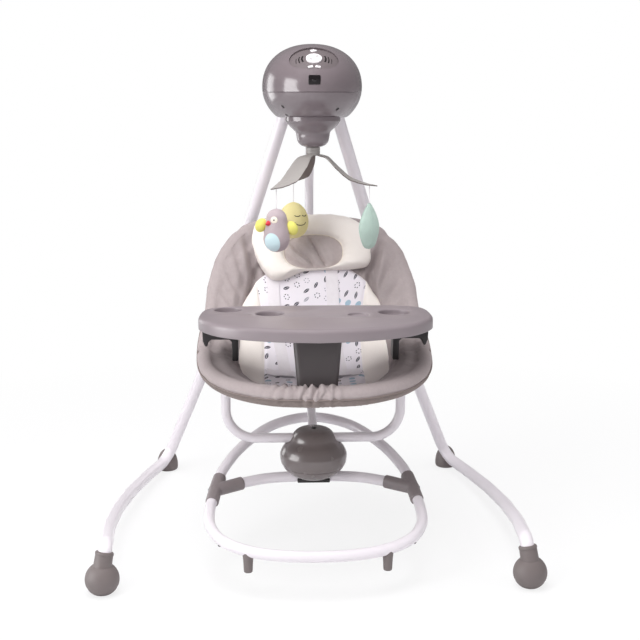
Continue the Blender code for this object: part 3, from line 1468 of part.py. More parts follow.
def make_mobile():
    place = (0.0, MOBILE_Y, 0.0)
    top = HEAD_FLOOR_Z - GAP
    bore = MOBILE_SHAFT_RADIUS + GAP
    step = BOWL_STEP_RADIUS
    outer = [
        (bore, BOWL_BOTTOM_Z),
        (step * 0.45, BOWL_BOTTOM_Z),
        (step * 0.72, bowl_level(0.043)),
        (step * 0.93, bowl_level(0.165)),
        (step, bowl_level(0.330)),
        (step * 1.03, bowl_level(0.513)),
        (step * 1.20, bowl_level(0.600)),
        (BOWL_RADIUS * 0.90, bowl_level(0.748)),
        (BOWL_RADIUS, bowl_level(0.904)),
        (BOWL_RADIUS, top),
    ]
    inner = [
        (BOWL_RADIUS - BOWL_WALL, top),
        (BOWL_RADIUS - BOWL_WALL, bowl_level(0.922)),
        (step * 1.10, bowl_level(0.652)),
        (step - BOWL_WALL, bowl_level(0.504)),
        (step * 0.93 - BOWL_WALL, bowl_level(0.200)),
        (step * 0.62, bowl_level(0.087)),
        (bore, bowl_level(BOWL_SEAT)),
    ]
    finish(turned(outer + inner, 18, place, closed=True), "mobile_bowl", "taupe_plastic")
    collar = BOWL_BOTTOM_Z - GAP
    head_low = bowl_level(BOWL_SEAT) + GAP * 2.0
    hub = [
        (0.0, NECK_BOTTOM_Z),
        (NECK_RADIUS, NECK_BOTTOM_Z),
        (NECK_RADIUS, collar),
        (MOBILE_SHAFT_RADIUS, collar),
        (MOBILE_SHAFT_RADIUS, head_low),
        (MOBILE_SHAFT_RADIUS * 2.0, head_low + 0.0012),
        (MOBILE_SHAFT_RADIUS * 2.0, head_low + 0.0035),
        (0.0, head_low + 0.0035),
    ]
    finish(turned(hub, 20, place), "mobile_hub", "leaf_plastic", (0.0, MOBILE_Y, NECK_BOTTOM_Z))
    disc_top = NECK_BOTTOM_Z - GAP
    leaves = rod((0.0, MOBILE_Y, disc_top - LEAF_THICK - 0.0006), (0.0, MOBILE_Y, disc_top), NECK_RADIUS, 20)
    join(leaves, *[make_leaf(leaf_angle(index)) for index in range(LEAF_COUNT)])
    finish(leaves, "leaf_arms", "leaf_plastic", (0.0, MOBILE_Y, NECK_BOTTOM_Z))


def leaf_angle(index):
    return LEAF_TURN + index * 2.0 * math.pi / LEAF_COUNT


def leaf_height(reach):
    for (r0, drop0, _), (r1, drop1, _) in zip(LEAF_ROWS, LEAF_ROWS[1:]):
        if r0 <= reach <= r1:
            return NECK_BOTTOM_Z - drop0 - (drop1 - drop0) * (reach - r0) / (r1 - r0)
    return NECK_BOTTOM_Z - LEAF_ROWS[-1][1]


def make_leaf(angle):
    rows = []
    turn = Matrix.Rotation(angle, 4, "Z")
    for reach, below, half in LEAF_ROWS:
        line = []
        for across in (-1.0, 0.0, 1.0):
            height = NECK_BOTTOM_Z - below - LEAF_CUP * half * across * across
            line.append(turn @ Vector((reach, across * half, height)) + Vector((0.0, MOBILE_Y, 0.0)))
        rows.append(line)
    return sheet_solid(rows, LEAF_THICK, True)


def toy_place(index):
    angle = leaf_angle(index)
    x = TOY_REACH * math.cos(angle)
    y = MOBILE_Y + TOY_REACH * math.sin(angle)
    return Vector((x, y, leaf_height(TOY_REACH) - LEAF_THICK * 1.15 - GAP * 2.0))


def toy(index, top, height, outline, radius, steps, stretch, turn):
    # A stuffed body under its string; outline holds (radius share, height share) from top to bottom.
    hang = toy_place(index)
    profile = [(0.0, hang.z), (STRING_RADIUS, hang.z), (STRING_RADIUS, top)]
    profile += [(radius * share, top - height * down) for share, down in outline]
    profile.append((0.0, top - height))
    body = turned(profile, steps, (hang.x, hang.y, 0.0), stretch=stretch, turn=turn)
    return body, hang


def make_toys():
    mint_outline = ((0.30, 0.08), (0.72, 0.25), (0.97, 0.44), (0.93, 0.62), (0.60, 0.82), (0.22, 0.96))
    mint, hang = toy(0, MINT_TOP_Z, MINT_HEIGHT, mint_outline, MINT_HALF_WIDTH, 12, (1.0, MINT_FLATNESS), MINT_TURN)
    finish(mint, "leaf_toy", "mint_plush", hang)
    egg_outline = ((0.36, 0.04), (0.68, 0.15), (0.90, 0.32), (1.0, 0.55), (0.90, 0.77), (0.62, 0.92), (0.30, 0.99))
    egg, hang = toy(1, EGG_TOP_Z, EGG_HEIGHT, egg_outline, EGG_RADIUS, 14, (1.0, EGG_FLATNESS), 0.0)
    finish(egg, "egg_toy", "yellow_plush", hang)
    bird_outline = ((0.40, 0.03), (0.70, 0.12), (0.79, 0.24), (0.85, 0.37), (0.96, 0.54), (1.0, 0.70), (0.88, 0.86), (0.50, 0.97))
    bird, hang = toy(2, BIRD_TOP_Z, BIRD_HEIGHT, bird_outline, BIRD_RADIUS, 14, (1.0, 0.9), 0.0)
    for side in (-1, 1):
        bm = bmesh.new()
        bmesh.ops.create_icosphere(bm, subdivisions=2, radius=1.0)
        bmesh.ops.scale(bm, vec=WING_HALF, verts=bm.verts)
        bmesh.ops.rotate(bm, cent=(0, 0, 0), matrix=Matrix.Rotation(-side * WING_TURN, 3, "Y"), verts=bm.verts)
        place = (hang.x + side * (BIRD_RADIUS * 0.9 + WING_HALF.x * 0.4), hang.y, BIRD_TOP_Z - WING_DROP)
        bmesh.ops.translate(bm, vec=place, verts=bm.verts)
        join(bird, mesh_object("wing", bm))
    finish(bird, "bird_toy", "bird_plush", hang)


clear_scene()
for side, label in ((-1, "left"), (1, "right")):
    make_stand_tubes(side, label)
    make_front_foot(side, "front_" + label)
    make_rear_foot(side, "rear_" + label)
make_head_shells()
make_panel()
make_inlet()
make_drive()
arm = swept(arm_path(), ARM_TUBE / 2.0, wall=ARM_WALL)
finish(arm, "swing_arm", "white_steel", (0.0, ARM_CORNERS[0].y, PIVOT_Z))
make_pod()
make_carrier()
make_rocker()
make_seat()
make_pillow()
make_harness()
make_tray()
make_tray_brackets()
make_mobile()
make_toys()
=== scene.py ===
# Electric baby swing: smooth shapes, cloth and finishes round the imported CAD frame.
import math

import bmesh
import bpy
from mathutils import Matrix, Vector, noise


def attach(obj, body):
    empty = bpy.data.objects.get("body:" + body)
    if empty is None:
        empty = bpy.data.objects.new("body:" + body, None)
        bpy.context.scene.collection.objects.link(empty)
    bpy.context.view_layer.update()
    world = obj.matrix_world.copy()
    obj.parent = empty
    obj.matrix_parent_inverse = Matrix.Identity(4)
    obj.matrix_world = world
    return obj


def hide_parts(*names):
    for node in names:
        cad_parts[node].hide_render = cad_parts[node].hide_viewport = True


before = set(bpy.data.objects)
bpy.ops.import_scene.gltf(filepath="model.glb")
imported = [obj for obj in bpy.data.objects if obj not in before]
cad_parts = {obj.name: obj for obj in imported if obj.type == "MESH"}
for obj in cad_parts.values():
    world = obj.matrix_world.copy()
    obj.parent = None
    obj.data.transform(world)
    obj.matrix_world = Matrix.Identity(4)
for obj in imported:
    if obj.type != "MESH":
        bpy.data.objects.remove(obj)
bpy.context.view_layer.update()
scene = bpy.context.scene


# colour and node helpers

def linearHex(code):
    parts = [int(code[i:i + 2], 16) / 255 for i in (1, 3, 5)]
    return (*[c / 12.92 if c <= 0.04045 else ((c + 0.055) / 1.055) ** 2.4 for c in parts], 1.0)


def addNode(tree, kind, inputs=None, **settings):
    node = tree.nodes.new("ShaderNode" + kind)
    for name, value in settings.items():
        setattr(node, name, value)
    for name, value in (inputs or {}).items():
        if isinstance(value, tuple) and isinstance(value[0], bpy.types.Node):
            tree.links.new(value[0].outputs[value[1]], node.inputs[name])
        else:
            node.inputs[name].default_value = value
    return node


def startMaterial(name, **sockets):
    material = bpy.data.materials.new(name)
    material.use_nodes = True
    tree = material.node_tree
    shader = tree.nodes["Principled BSDF"]
    for key, value in sockets.items():
        shader.inputs[key.replace("_", " ")].default_value = value
    return material, tree, shader


def mottled(tree, coords, colour, dark, scale, amount):
    # a colour that drifts a little towards a darker one, as moulded and sewn surfaces do
    cloud = addNode(tree, "TexNoise", {"Vector": coords, "Scale": scale, "Detail": 3.0})
    share = addNode(tree, "Math", {0: (cloud, 0), 1: amount}, operation="MULTIPLY")
    return addNode(tree, "Mix", {0: (share, 0), 6: linearHex(colour), 7: linearHex(dark)}, data_type="RGBA")


# hard finishes: hex colours as they render under the lamps, grain in millimetres

finishKeys = ("colour", "dark", "roughness", "grain", "depth", "coat")
hardFinishes = {
    # epoxy powder coat on steel tube: even off-white with a fine orange peel
    "powderCoatedSteel": ("#EEE9EE", "#DDD6DC", 0.30, 1.6, 0.02, 0.25),
    # glossy moulded ABS of the motor head: soft streaks of reflected light
    "glossyTaupeAbs": ("#7B7175", "#6B6164", 0.20, 0.9, 0.006, 0.35),
    # satin ABS of the control panel
    "satinTaupeAbs": ("#6F6668", "#60585A", 0.46, 0.8, 0.02, 0.0),
    # moulded polypropylene tray: fine spark texture, low gloss
    "trayPolypropylene": ("#8F8589", "#7F7579", 0.38, 1.1, 0.03, 0.08),
    # darker ABS of the hub pod: polished dome with small bright glints
    "podAbs": ("#7B7271", "#6C6463", 0.25, 1.0, 0.006, 0.4),
    # thermoplastic rubber feet and rocker pegs: matt, slightly dusty
    "taupeRubber": ("#776E6D", "#675F5E", 0.55, 0.9, 0.06, 0.0),
    # connector mouldings: mid grey satin
    "connectorNylon": ("#8B8283", "#7A7172", 0.42, 0.9, 0.03, 0.0),
    # charcoal ABS of the crotch post
    "postAbs": ("#565051", "#494344", 0.42, 1.0, 0.04, 0.05),
    # black nylon brackets and hinge parts
    "blackNylon": ("#2B2728", "#1C191A", 0.42, 0.8, 0.05, 0.0),
    # smoked acrylic sensor window: near black, mirror smooth
    "smokedAcrylic": ("#191416", "#120E10", 0.08, 2.0, 0.0, 0.5),
    # white ABS keys
    "whiteAbs": ("#F1ECEE", "#E4DFE1", 0.32, 0.8, 0.01, 0.1),
    # grey pad print on the keys
    "keyInk": ("#8F8A8E", "#858084", 0.5, 0.6, 0.0, 0.0),
    # pale moulded leaf arms and collar, and a darker copy of the same plastic that paints shade on the leaves'
    # undersides
    "leafPlastic": ("#A5A09D", "#938E8B", 0.45, 0.9, 0.02, 0.0),
    "leafUndersidePaintedShade": ("#6E6461", "#5E5552", 0.6, 0.9, 0.03, 0.0),
    # green solder mask
    "solderMask": ("#1F5A37", "#174529", 0.35, 1.5, 0.02, 0.2),
}
metalFinishes = {
    # zinc plated steel and brass parts of the drive
    "zincSteel": ("#B9BABF", "#9C9EA4", 0.32, 0.7, 0.03, 0.0),
    "turnedBrass": ("#C9A45C", "#AD8742", 0.30, 0.6, 0.03, 0.0),
}
looks = {}


def hardLook(name, spec, metallic):
    material, tree, shader = startMaterial(name, Roughness=spec["roughness"], Metallic=metallic,
                                           Coat_Weight=spec["coat"], Coat_Roughness=0.12)
    coords = addNode(tree, "TexCoord")
    place = (coords, "Object")
    colour = mottled(tree, place, spec["colour"], spec["dark"], 9.0, 0.55)
    tree.links.new(colour.outputs[2], shader.inputs["Base Color"])
    grain = addNode(tree, "TexNoise", {"Vector": place, "Scale": 1000.0 / spec["grain"], "Detail": 2.0})
    wear = addNode(tree, "TexNoise", {"Vector": place, "Scale": 22.0, "Detail": 4.0})
    gloss = addNode(tree, "MapRange", {"Value": (wear, 0), "To Min": spec["roughness"] - 0.035,
                                       "To Max": spec["roughness"] + 0.06})
    tree.links.new(gloss.outputs[0], shader.inputs["Roughness"])
    if spec["depth"]:
        bump = addNode(tree, "Bump", {"Height": (grain, 0), "Strength": min(spec["depth"] * 8, 1.0),
                                      "Distance": spec["depth"] / 1000.0})
        tree.links.new(bump.outputs[0], shader.inputs["Normal"])
    return material


for finishes, metallic in ((hardFinishes, 0.0), (metalFinishes, 1.0)):
    for lookName, row in finishes.items():
        looks[lookName] = hardLook(lookName, dict(zip(finishKeys, row)), metallic)


# cloth finishes: thread is the weave's pitch in millimetres, pile the fuzz's grain

clothKeys = ("colour", "dark", "thread", "depth", "sheen", "pile")
clothFinishes = {
    # taupe polyester twill of the seat: tight, slight sheen
    "taupeTwill": ("#B1A6A6", "#998E8E", 1.3, 0.10, 0.25, 6.0),
    # the darker lining inside the back and under the arms
    "liningTwill": ("#8C807C", "#746965", 1.3, 0.10, 0.2, 6.0),
    # cream velboa of the head pillow and the side wings: short pile, no visible thread
    "creamVelboa": ("#FAF4EF", "#EEE5DE", 0.0, 0.25, 0.5, 2.2),
    # grey satin centre of the pillow
    "greySatin": ("#C6BAB9", "#A59A99", 0.9, 0.05, 0.35, 8.0),
    # white polyester webbing, ribbed
    "whiteWebbing": ("#EFEAEE", "#DFD9DE", 1.6, 0.15, 0.1, 9.0),
    # plush toys
    "mauvePlush": ("#BDAFB3", "#A6979C", 0.0, 0.35, 0.6, 1.6),
    "lemonPlush": ("#EADFA8", "#DCCE8C", 0.0, 0.35, 0.6, 1.6),
    "wingPlush": ("#EAE582", "#DAD263", 0.0, 0.35, 0.5, 1.6),
    "mintPlush": ("#BFD2C9", "#A6BDB2", 0.0, 0.35, 0.6, 1.6),
    "skyPlush": ("#CBE2E8", "#B4D2DB", 0.0, 0.35, 0.6, 1.6),
    "redFelt": ("#D8434F", "#C0333F", 0.0, 0.2, 0.4, 1.4),
    "creamFelt": ("#F6EFE2", "#EADFCC", 0.0, 0.2, 0.4, 1.4),
    "darkThread": ("#3A3234", "#2A2426", 0.5, 0.1, 0.1, 2.0),
    "clearThread": ("#F4F1F2", "#E8E4E6", 0.6, 0.05, 0.0, 3.0),
}


def clothLook(name, spec):
    material, tree, shader = startMaterial(name, Roughness=0.88, Sheen_Weight=spec["sheen"], Sheen_Roughness=0.45)
    shader.inputs["Sheen Tint"].default_value = linearHex(spec["colour"])
    coords = addNode(tree, "TexCoord")
    place = (coords, "Object")
    colour = mottled(tree, place, spec["colour"], spec["dark"], 14.0, 0.6)
    fuzz = addNode(tree, "TexNoise", {"Vector": place, "Scale": 1000.0 / spec["pile"], "Detail": 5.0,
                                      "Roughness": 0.7})
    shade = addNode(tree, "MapRange", {"Value": (fuzz, 0), "From Min": 0.3, "From Max": 0.7,
                                       "To Min": 0.0, "To Max": 0.45})
    tint = addNode(tree, "Mix", {0: (shade, 0), 6: (colour, 2), 7: linearHex(spec["dark"])}, data_type="RGBA")
    tree.links.new(tint.outputs[2], shader.inputs["Base Color"])
    height = (fuzz, 0)
    if spec["thread"]:
        # two sets of threads, drawn a little coarser than the real 0.4 mm so that they show
        pitch = 1000.0 / spec["thread"] / 6.283
        waves = [addNode(tree, "TexWave", {"Vector": place, "Scale": pitch * 1.7, "Distortion": 0.6,
                                           "Detail Scale": 2.0},
                         bands_direction=axis) for axis in ("DIAGONAL", "Z")]
        cross = addNode(tree, "Math", {0: (waves[0], 1), 1: (waves[1], 1)}, operation="MULTIPLY")
        both = addNode(tree, "Math", {0: (cross, 0), 1: (fuzz, 0)}, operation="ADD")
        height = (both, 0)
    bump = addNode(tree, "Bump", {"Height": height, "Strength": 0.5, "Distance": spec["depth"] / 1000.0})
    tree.links.new(bump.outputs[0], shader.inputs["Normal"])
    return material


for lookName, row in clothFinishes.items():
    looks[lookName] = clothLook(lookName, dict(zip(clothKeys, row)))


# printed cotton: white ground, small charcoal and blue motifs of our own, one to a cell of the UV map in metres

printSpec = {
    "ground": "#F1ECF2", "shade": "#E4DDE6", "ink": "#4A4752", "blue": "#A3BCCD", "grey": "#A9A6B0",
    "cell": 0.0215,  # metres between motifs
}


def printLook(name, spec):
    material, tree, shader = startMaterial(name, Roughness=0.85, Sheen_Weight=0.15, Sheen_Roughness=0.5)

    def calc(operation, *values):
        return addNode(tree, "Math", dict(enumerate(values)), operation=operation)

    uv = addNode(tree, "UVMap", uv_map="cloth")
    flat = (uv, 0)
    grid = addNode(tree, "VectorMath", {0: flat, "Scale": 1.0 / spec["cell"]}, operation="SCALE")
    split = addNode(tree, "SeparateXYZ", {0: (grid, 0)})
    # every second column is half a cell higher
    column = calc("FLOOR", (split, 0))
    odd = calc("FLOORED_MODULO", (column, 0), 2.0)
    lift = calc("MULTIPLY_ADD", (odd, 0), 0.5, (split, 1))
    moved = addNode(tree, "CombineXYZ", {0: (split, 0), 1: (lift, 0)})
    corner = addNode(tree, "VectorMath", {0: (moved, 0)}, operation="FLOOR")
    cell = addNode(tree, "VectorMath", {0: (corner, 0), 1: (0.731, 0.377, 1.0), 2: (17.3, 5.9, 2.0)},
                   operation="MULTIPLY_ADD")
    within = addNode(tree, "VectorMath", {0: (moved, 0)}, operation="FRACTION")
    pick = addNode(tree, "TexWhiteNoise", {0: (cell, 0)}, noise_dimensions="3D")
    wander = addNode(tree, "VectorMath", {0: (pick, 1), 1: (0.22, 0.22, 0.0), 2: (0.39, 0.39, 0.0)},
                     operation="MULTIPLY_ADD")
    middle = addNode(tree, "VectorMath", {0: (within, 0), 1: (wander, 0)}, operation="SUBTRACT")
    angle = calc("MULTIPLY", (pick, 0), 2.2)
    turned = addNode(tree, "VectorRotate", {0: (middle, 0), "Angle": (angle, 0)}, rotation_type="Z_AXIS")
    spot = addNode(tree, "SeparateXYZ", {0: (turned, 0)})
    across = calc("ABSOLUTE", (spot, 0))
    # leaf sprig: a narrow lens with a bare rib down its middle
    lens = calc("MULTIPLY", (spot, 1), (spot, 1))
    lensWidth = calc("MULTIPLY_ADD", (lens, 0), -0.95, 0.150)
    leaf = calc("LESS_THAN", (across, 0), (lensWidth, 0))
    rib = calc("GREATER_THAN", (across, 0), 0.014)
    sprig = calc("MULTIPLY", (leaf, 0), (rib, 0))
    # ring of seeds
    reach = addNode(tree, "VectorMath", {0: (turned, 0)}, operation="LENGTH")
    ringOut = calc("COMPARE", (reach, 1), 0.25, 0.050)
    spin = calc("ARCTAN2", (spot, 1), (spot, 0))
    beat = calc("MULTIPLY", (spin, 0), 6.0)
    wave = calc("SINE", (beat, 0))
    bead = calc("GREATER_THAN", (wave, 0), 0.1)
    ring = calc("MULTIPLY", (ringOut, 0), (bead, 0))
    # plain pebble
    pebble = calc("LESS_THAN", (reach, 1), 0.30)
    hue = addNode(tree, "SeparateColor", {0: (pick, 1)})
    wantLeaf = calc("LESS_THAN", (hue, 0), 0.55)
    wantPebble = calc("GREATER_THAN", (hue, 0), 0.88)
    first = addNode(tree, "Mix", {0: (wantLeaf, 0), 2: (ring, 0), 3: (sprig, 0)})
    shape = addNode(tree, "Mix", {0: (wantPebble, 0), 2: (first, 0), 3: (pebble, 0)})
    bare = calc("GREATER_THAN", (hue, 1), 0.12)
    drawn = calc("MULTIPLY", (shape, 0), (bare, 0))
    greyShare = calc("GREATER_THAN", (hue, 2), 0.78)
    ink = addNode(tree, "Mix", {0: (greyShare, 0), 6: linearHex(spec["ink"]), 7: linearHex(spec["grey"])},
                  data_type="RGBA")
    inks = addNode(tree, "Mix", {0: (wantPebble, 0), 6: (ink, 2), 7: linearHex(spec["blue"])}, data_type="RGBA")
    coords = addNode(tree, "TexCoord")
    ground = mottled(tree, (coords, "Object"), spec["ground"], spec["shade"], 12.0, 0.6)
    final = addNode(tree, "Mix", {0: (drawn, 0), 6: (ground, 2), 7: (inks, 2)}, data_type="RGBA")
    tree.links.new(final.outputs[2], shader.inputs["Base Color"])
    fuzz = addNode(tree, "TexNoise", {"Vector": (coords, "Object"), "Scale": 900.0, "Detail": 3.0})
    bump = addNode(tree, "Bump", {"Height": (fuzz, 0), "Strength": 0.35, "Distance": 0.0001})
    tree.links.new(bump.outputs[0], shader.inputs["Normal"])
    return material


looks["printedCotton"] = printLook("printedCotton", printSpec)
print("finishes ready:", len(looks))


# camera, lamps, floor

cameraSpec = {"place": (-0.0748, -2.4159, 0.9374), "turn": (78.83, 0.0, -2.20), "lens": 64.4, "sensor": 36.0}
camera = bpy.data.objects.new("camera", bpy.data.cameras.new("camera"))
scene.collection.objects.link(camera)
camera.location = cameraSpec["place"]
camera.rotation_euler = [math.radians(a) for a in cameraSpec["turn"]]
camera.data.lens = cameraSpec["lens"]
camera.data.sensor_width = cameraSpec["sensor"]
scene.camera = camera
scene.view_settings.view_transform = "Standard"

# name: place, aim, width and height in metres, watts, and whether it lights only reflections (gloss) or only cloth
lampSpecs = {
    "keyBox": ((-2.3, -2.2, 2.2), (0.0, 0.0, 0.55), (0.9, 2.2), 42.0, "cloth"),
    "fillBox": ((2.7, -1.5, 1.5), (0.0, 0.0, 0.5), (1.2, 1.8), 9.0, "cloth"),
    "topBox": ((-0.5, -1.0, 3.2), (0.0, -0.1, 0.5), (2.2, 2.2), 88.0, "cloth"),
    "backBox": ((0.6, 2.8, 2.0), (0.0, 0.0, 0.6), (1.8, 1.6), 12.0, "cloth"),
    # tall white panels that only the gloss of the mouldings shows, as pale upright bands
    "leftPanel": ((-2.75, -0.95, 1.00), (0.0, -0.10, 0.95), (1.9, 1.9), 80.0, "gloss"),
    "rearPanel": ((-2.0, 1.75, 0.85), (0.0, -0.10, 0.95), (0.9, 1.5), 12.0, "gloss"),
}
for lampName, (place, aim, size, watts, seenBy) in lampSpecs.items():
    lamp = bpy.data.objects.new(lampName, bpy.data.lights.new(lampName, "AREA"))
    lamp.data.shape = "RECTANGLE"
    lamp.data.size, lamp.data.size_y = size
    lamp.data.energy = watts
    lamp.location = place
    lamp.rotation_euler = (Vector(aim) - Vector(place)).to_track_quat("-Z", "Y").to_euler()
    lamp.visible_glossy = seenBy != "cloth"
    lamp.visible_diffuse = seenBy != "gloss"
    scene.collection.objects.link(lamp)

world = bpy.data.worlds.new("studio")
scene.world = world
world.use_nodes = True
worldTree = world.node_tree
worldTree.nodes.clear()
path = addNode(worldTree, "LightPath")
seen = addNode(worldTree, "Math", {0: (path, "Is Camera Ray"), 1: (path, "Is Transmission Ray")},
               operation="MAXIMUM")
# reflections see a darker studio than the cloth is lit by
studioSpec = {"ambient": 0.46, "glossyDrop": -0.26}
ambientPower = addNode(worldTree, "Math", {0: (path, "Is Glossy Ray"), 1: studioSpec["glossyDrop"],
                                           2: studioSpec["ambient"]}, operation="MULTIPLY_ADD")
ambient = addNode(worldTree, "Background", {"Color": (0.97, 0.95, 0.97, 1.0), "Strength": (ambientPower, 0)})
shown = addNode(worldTree, "Background", {"Color": (1.0, 1.0, 1.0, 1.0), "Strength": 1.0})
blendWorld = addNode(worldTree, "MixShader", {0: (seen, 0), 1: (ambient, 0), 2: (shown, 0)})
addNode(worldTree, "OutputWorld", {0: (blendWorld, 0)})

# white: share of plain white that the camera sees near the object and far from it; the rest keeps the shadow
floorSpec = {"size": 40.0, "white": 0.80, "near": 0.75, "far": 1.7}
floorMesh = bmesh.new()
bmesh.ops.create_grid(floorMesh, x_segments=1, y_segments=1, size=floorSpec["size"])
floorData = bpy.data.meshes.new("floor")
floorMesh.to_mesh(floorData)
floorMesh.free()
floor = bpy.data.objects.new("floor", floorData)
floor.location.z = -0.0005
scene.collection.objects.link(floor)
floorLook, floorTree, floorShader = startMaterial("paperFloor", Roughness=0.9)
floorShader.inputs["Base Color"].default_value = (0.86, 0.86, 0.87, 1.0)
floorPath = addNode(floorTree, "LightPath")
floorWhite = addNode(floorTree, "Emission", {"Color": (1.0, 1.0, 1.0, 1.0), "Strength": 1.0})
floorCoords = addNode(floorTree, "TexCoord")
floorReach = addNode(floorTree, "VectorMath", {0: (floorCoords, "Object")}, operation="LENGTH")
floorFade = addNode(floorTree, "MapRange", {"Value": (floorReach, 1), "From Min": floorSpec["near"],
                                            "From Max": floorSpec["far"], "To Min": floorSpec["white"],
                                            "To Max": 1.0})
floorShare = addNode(floorTree, "Math", {0: (floorPath, "Is Camera Ray"), 1: (floorFade, 0)},
                     operation="MULTIPLY")
floorMix = addNode(floorTree, "MixShader", {0: (floorShare, 0), 1: (floorShader, 0), 2: (floorWhite, 0)})
floorTree.links.new(floorMix.outputs[0], floorTree.nodes["Material Output"].inputs["Surface"])
floorData.materials.append(floorLook)
print("camera and light ready")


# shape helpers

def objectFrom(bm, name):
    mesh = bpy.data.meshes.new(name)
    bm.to_mesh(mesh)
    bm.free()
    obj = bpy.data.objects.new(name, mesh)
    scene.collection.objects.link(obj)
    return obj


def pieceFrom(bm, name, merge=1e-6):
    bmesh.ops.remove_doubles(bm, verts=bm.verts, dist=merge)
    bmesh.ops.recalc_face_normals(bm, faces=bm.faces)
    return objectFrom(bm, name)


def applied(obj):
    bpy.context.view_layer.update()
    graph = bpy.context.evaluated_depsgraph_get()
    mesh = bpy.data.meshes.new_from_object(obj.evaluated_get(graph))
    obj.modifiers.clear()
    obj.data = mesh
    return obj


def modify(obj, kind, **settings):
    modifier = obj.modifiers.new(kind.lower(), kind)
    for key, value in settings.items():
        setattr(modifier, key, value)
    return applied(obj)


def carve(obj, *cutters, operation="DIFFERENCE"):
    for cutter in cutters:
        modify(obj, "BOOLEAN", object=cutter, operation=operation, solver="EXACT", material_mode="TRANSFER")
        bpy.data.objects.remove(cutter)
    return obj


def dress(obj, name, body, look, replaced=(), sharp=38.0, keepLooks=False):
    # last step of every piece: name, finish, smooth shading, body and the CAD nodes it stands for
    obj.name = name
    obj.data.name = name
    if not keepLooks:
        obj.data.materials.clear()
        obj.data.materials.append(looks[look])
    obj.data.shade_smooth()
    if sharp:
        obj.data.set_sharp_from_angle(angle=math.radians(sharp))
    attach(obj, body)
    if replaced:
        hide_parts(*replaced)
    return obj


def lathe(profile, place=(0, 0, 0), steps=72, stretch=(1, 1), turn=None):
    # (radius, height) points spun round the upright axis, then stretched, turned and placed
    bm = bmesh.new()
    dots = [bm.verts.new((r, 0, z)) for r, z in profile]
    edges = [bm.edges.new(pair) for pair in zip(dots, dots[1:])]
    bmesh.ops.spin(bm, geom=dots + edges, axis=(0, 0, 1), cent=(0, 0, 0), angle=2 * math.pi, steps=steps,
                   use_merge=True)
    bmesh.ops.scale(bm, vec=(stretch[0], stretch[1], 1), verts=bm.verts)
    if turn is not None:
        bmesh.ops.rotate(bm, cent=(0, 0, 0), matrix=turn, verts=bm.verts)
    bmesh.ops.translate(bm, vec=place, verts=bm.verts)
    return pieceFrom(bm, "lathe")


def softened(profile, rounds=2):
    # corner cutting, so a plain profile becomes a moulded one; the end points stay
    for _ in range(rounds):
        cut = [profile[0]]
        for (r0, z0), (r1, z1) in zip(profile, profile[1:]):
            cut += [(r0 * (1 - t) + r1 * t, z0 * (1 - t) + z1 * t) for t in (0.25, 0.75)]
        profile = cut + [profile[-1]]
    return profile


def barrel(start, end, radius, endRadius=None, segments=40, edge=0.0):
    start, end = Vector(start), Vector(end)
    along = end - start
    bm = bmesh.new()
    bmesh.ops.create_cone(bm, cap_ends=True, segments=segments, radius1=radius,
                          radius2=radius if endRadius is None else endRadius, depth=along.length)
    if edge:
        rims = [e for e in bm.edges if any(len(f.verts) > 4 for f in e.link_faces)]
        bmesh.ops.bevel(bm, geom=rims, offset=edge, segments=3, profile=0.5, affect="EDGES", material=-1)
    bmesh.ops.rotate(bm, cent=(0, 0, 0), matrix=along.to_track_quat("Z", "Y").to_matrix(), verts=bm.verts)
    bmesh.ops.translate(bm, vec=(start + end) / 2, verts=bm.verts)
    return pieceFrom(bm, "barrel")


def roundedBox(centre, size, edge, turn=None, segments=4):
    bm = bmesh.new()
    bmesh.ops.create_cube(bm, size=1.0)
    bmesh.ops.scale(bm, vec=size, verts=bm.verts)
    if edge:
        bmesh.ops.bevel(bm, geom=bm.edges[:], offset=edge, segments=segments, profile=0.5, affect="EDGES",
                        material=-1)
    if turn is not None:
        bmesh.ops.rotate(bm, cent=(0, 0, 0), matrix=turn, verts=bm.verts)
    bmesh.ops.translate(bm, vec=centre, verts=bm.verts)
    return pieceFrom(bm, "box")


def tubeAlong(points, radius, sides=32, factors=None, caps=True):
    line = bpy.data.curves.new("tube", "CURVE")
    line.dimensions = "3D"
    line.bevel_depth = radius
    line.bevel_resolution = (sides - 4) // 2
    line.use_fill_caps = caps
    spline = line.splines.new("POLY")
    spline.points.add(len(points) - 1)
    for i, point in enumerate(points):
        spline.points[i].co = (*point, 1)
        if factors:
            spline.points[i].radius = factors[i]
    guide = bpy.data.objects.new("guide", line)
    scene.collection.objects.link(guide)
    bpy.context.view_layer.update()
    mesh = bpy.data.meshes.new_from_object(guide.evaluated_get(bpy.context.evaluated_depsgraph_get()))
    bpy.data.objects.remove(guide)
    bm = bmesh.new()
    bm.from_mesh(mesh)
    return pieceFrom(bm, "tube")


def merged(name, *parts):
    # several parts in one piece, their meshes side by side
    bm = bmesh.new()
    for part in parts:
        bm.from_mesh(part.data)
        bpy.data.objects.remove(part)
    return objectFrom(bm, name)


def extruded(points, way):
    # a flat outline pushed out into a block
    bm = bmesh.new()
    face = bm.faces.new([bm.verts.new(point) for point in points])
    made = bmesh.ops.extrude_face_region(bm, geom=[face])
    bmesh.ops.translate(bm, vec=way, verts=[g for g in made["geom"] if isinstance(g, bmesh.types.BMVert)])
    return bm


def steelTube(route, width, name, body, node, factors=None):
    dress(tubeAlong(route, width / 2, factors=factors), name, body, "powderCoatedSteel",
          [node])


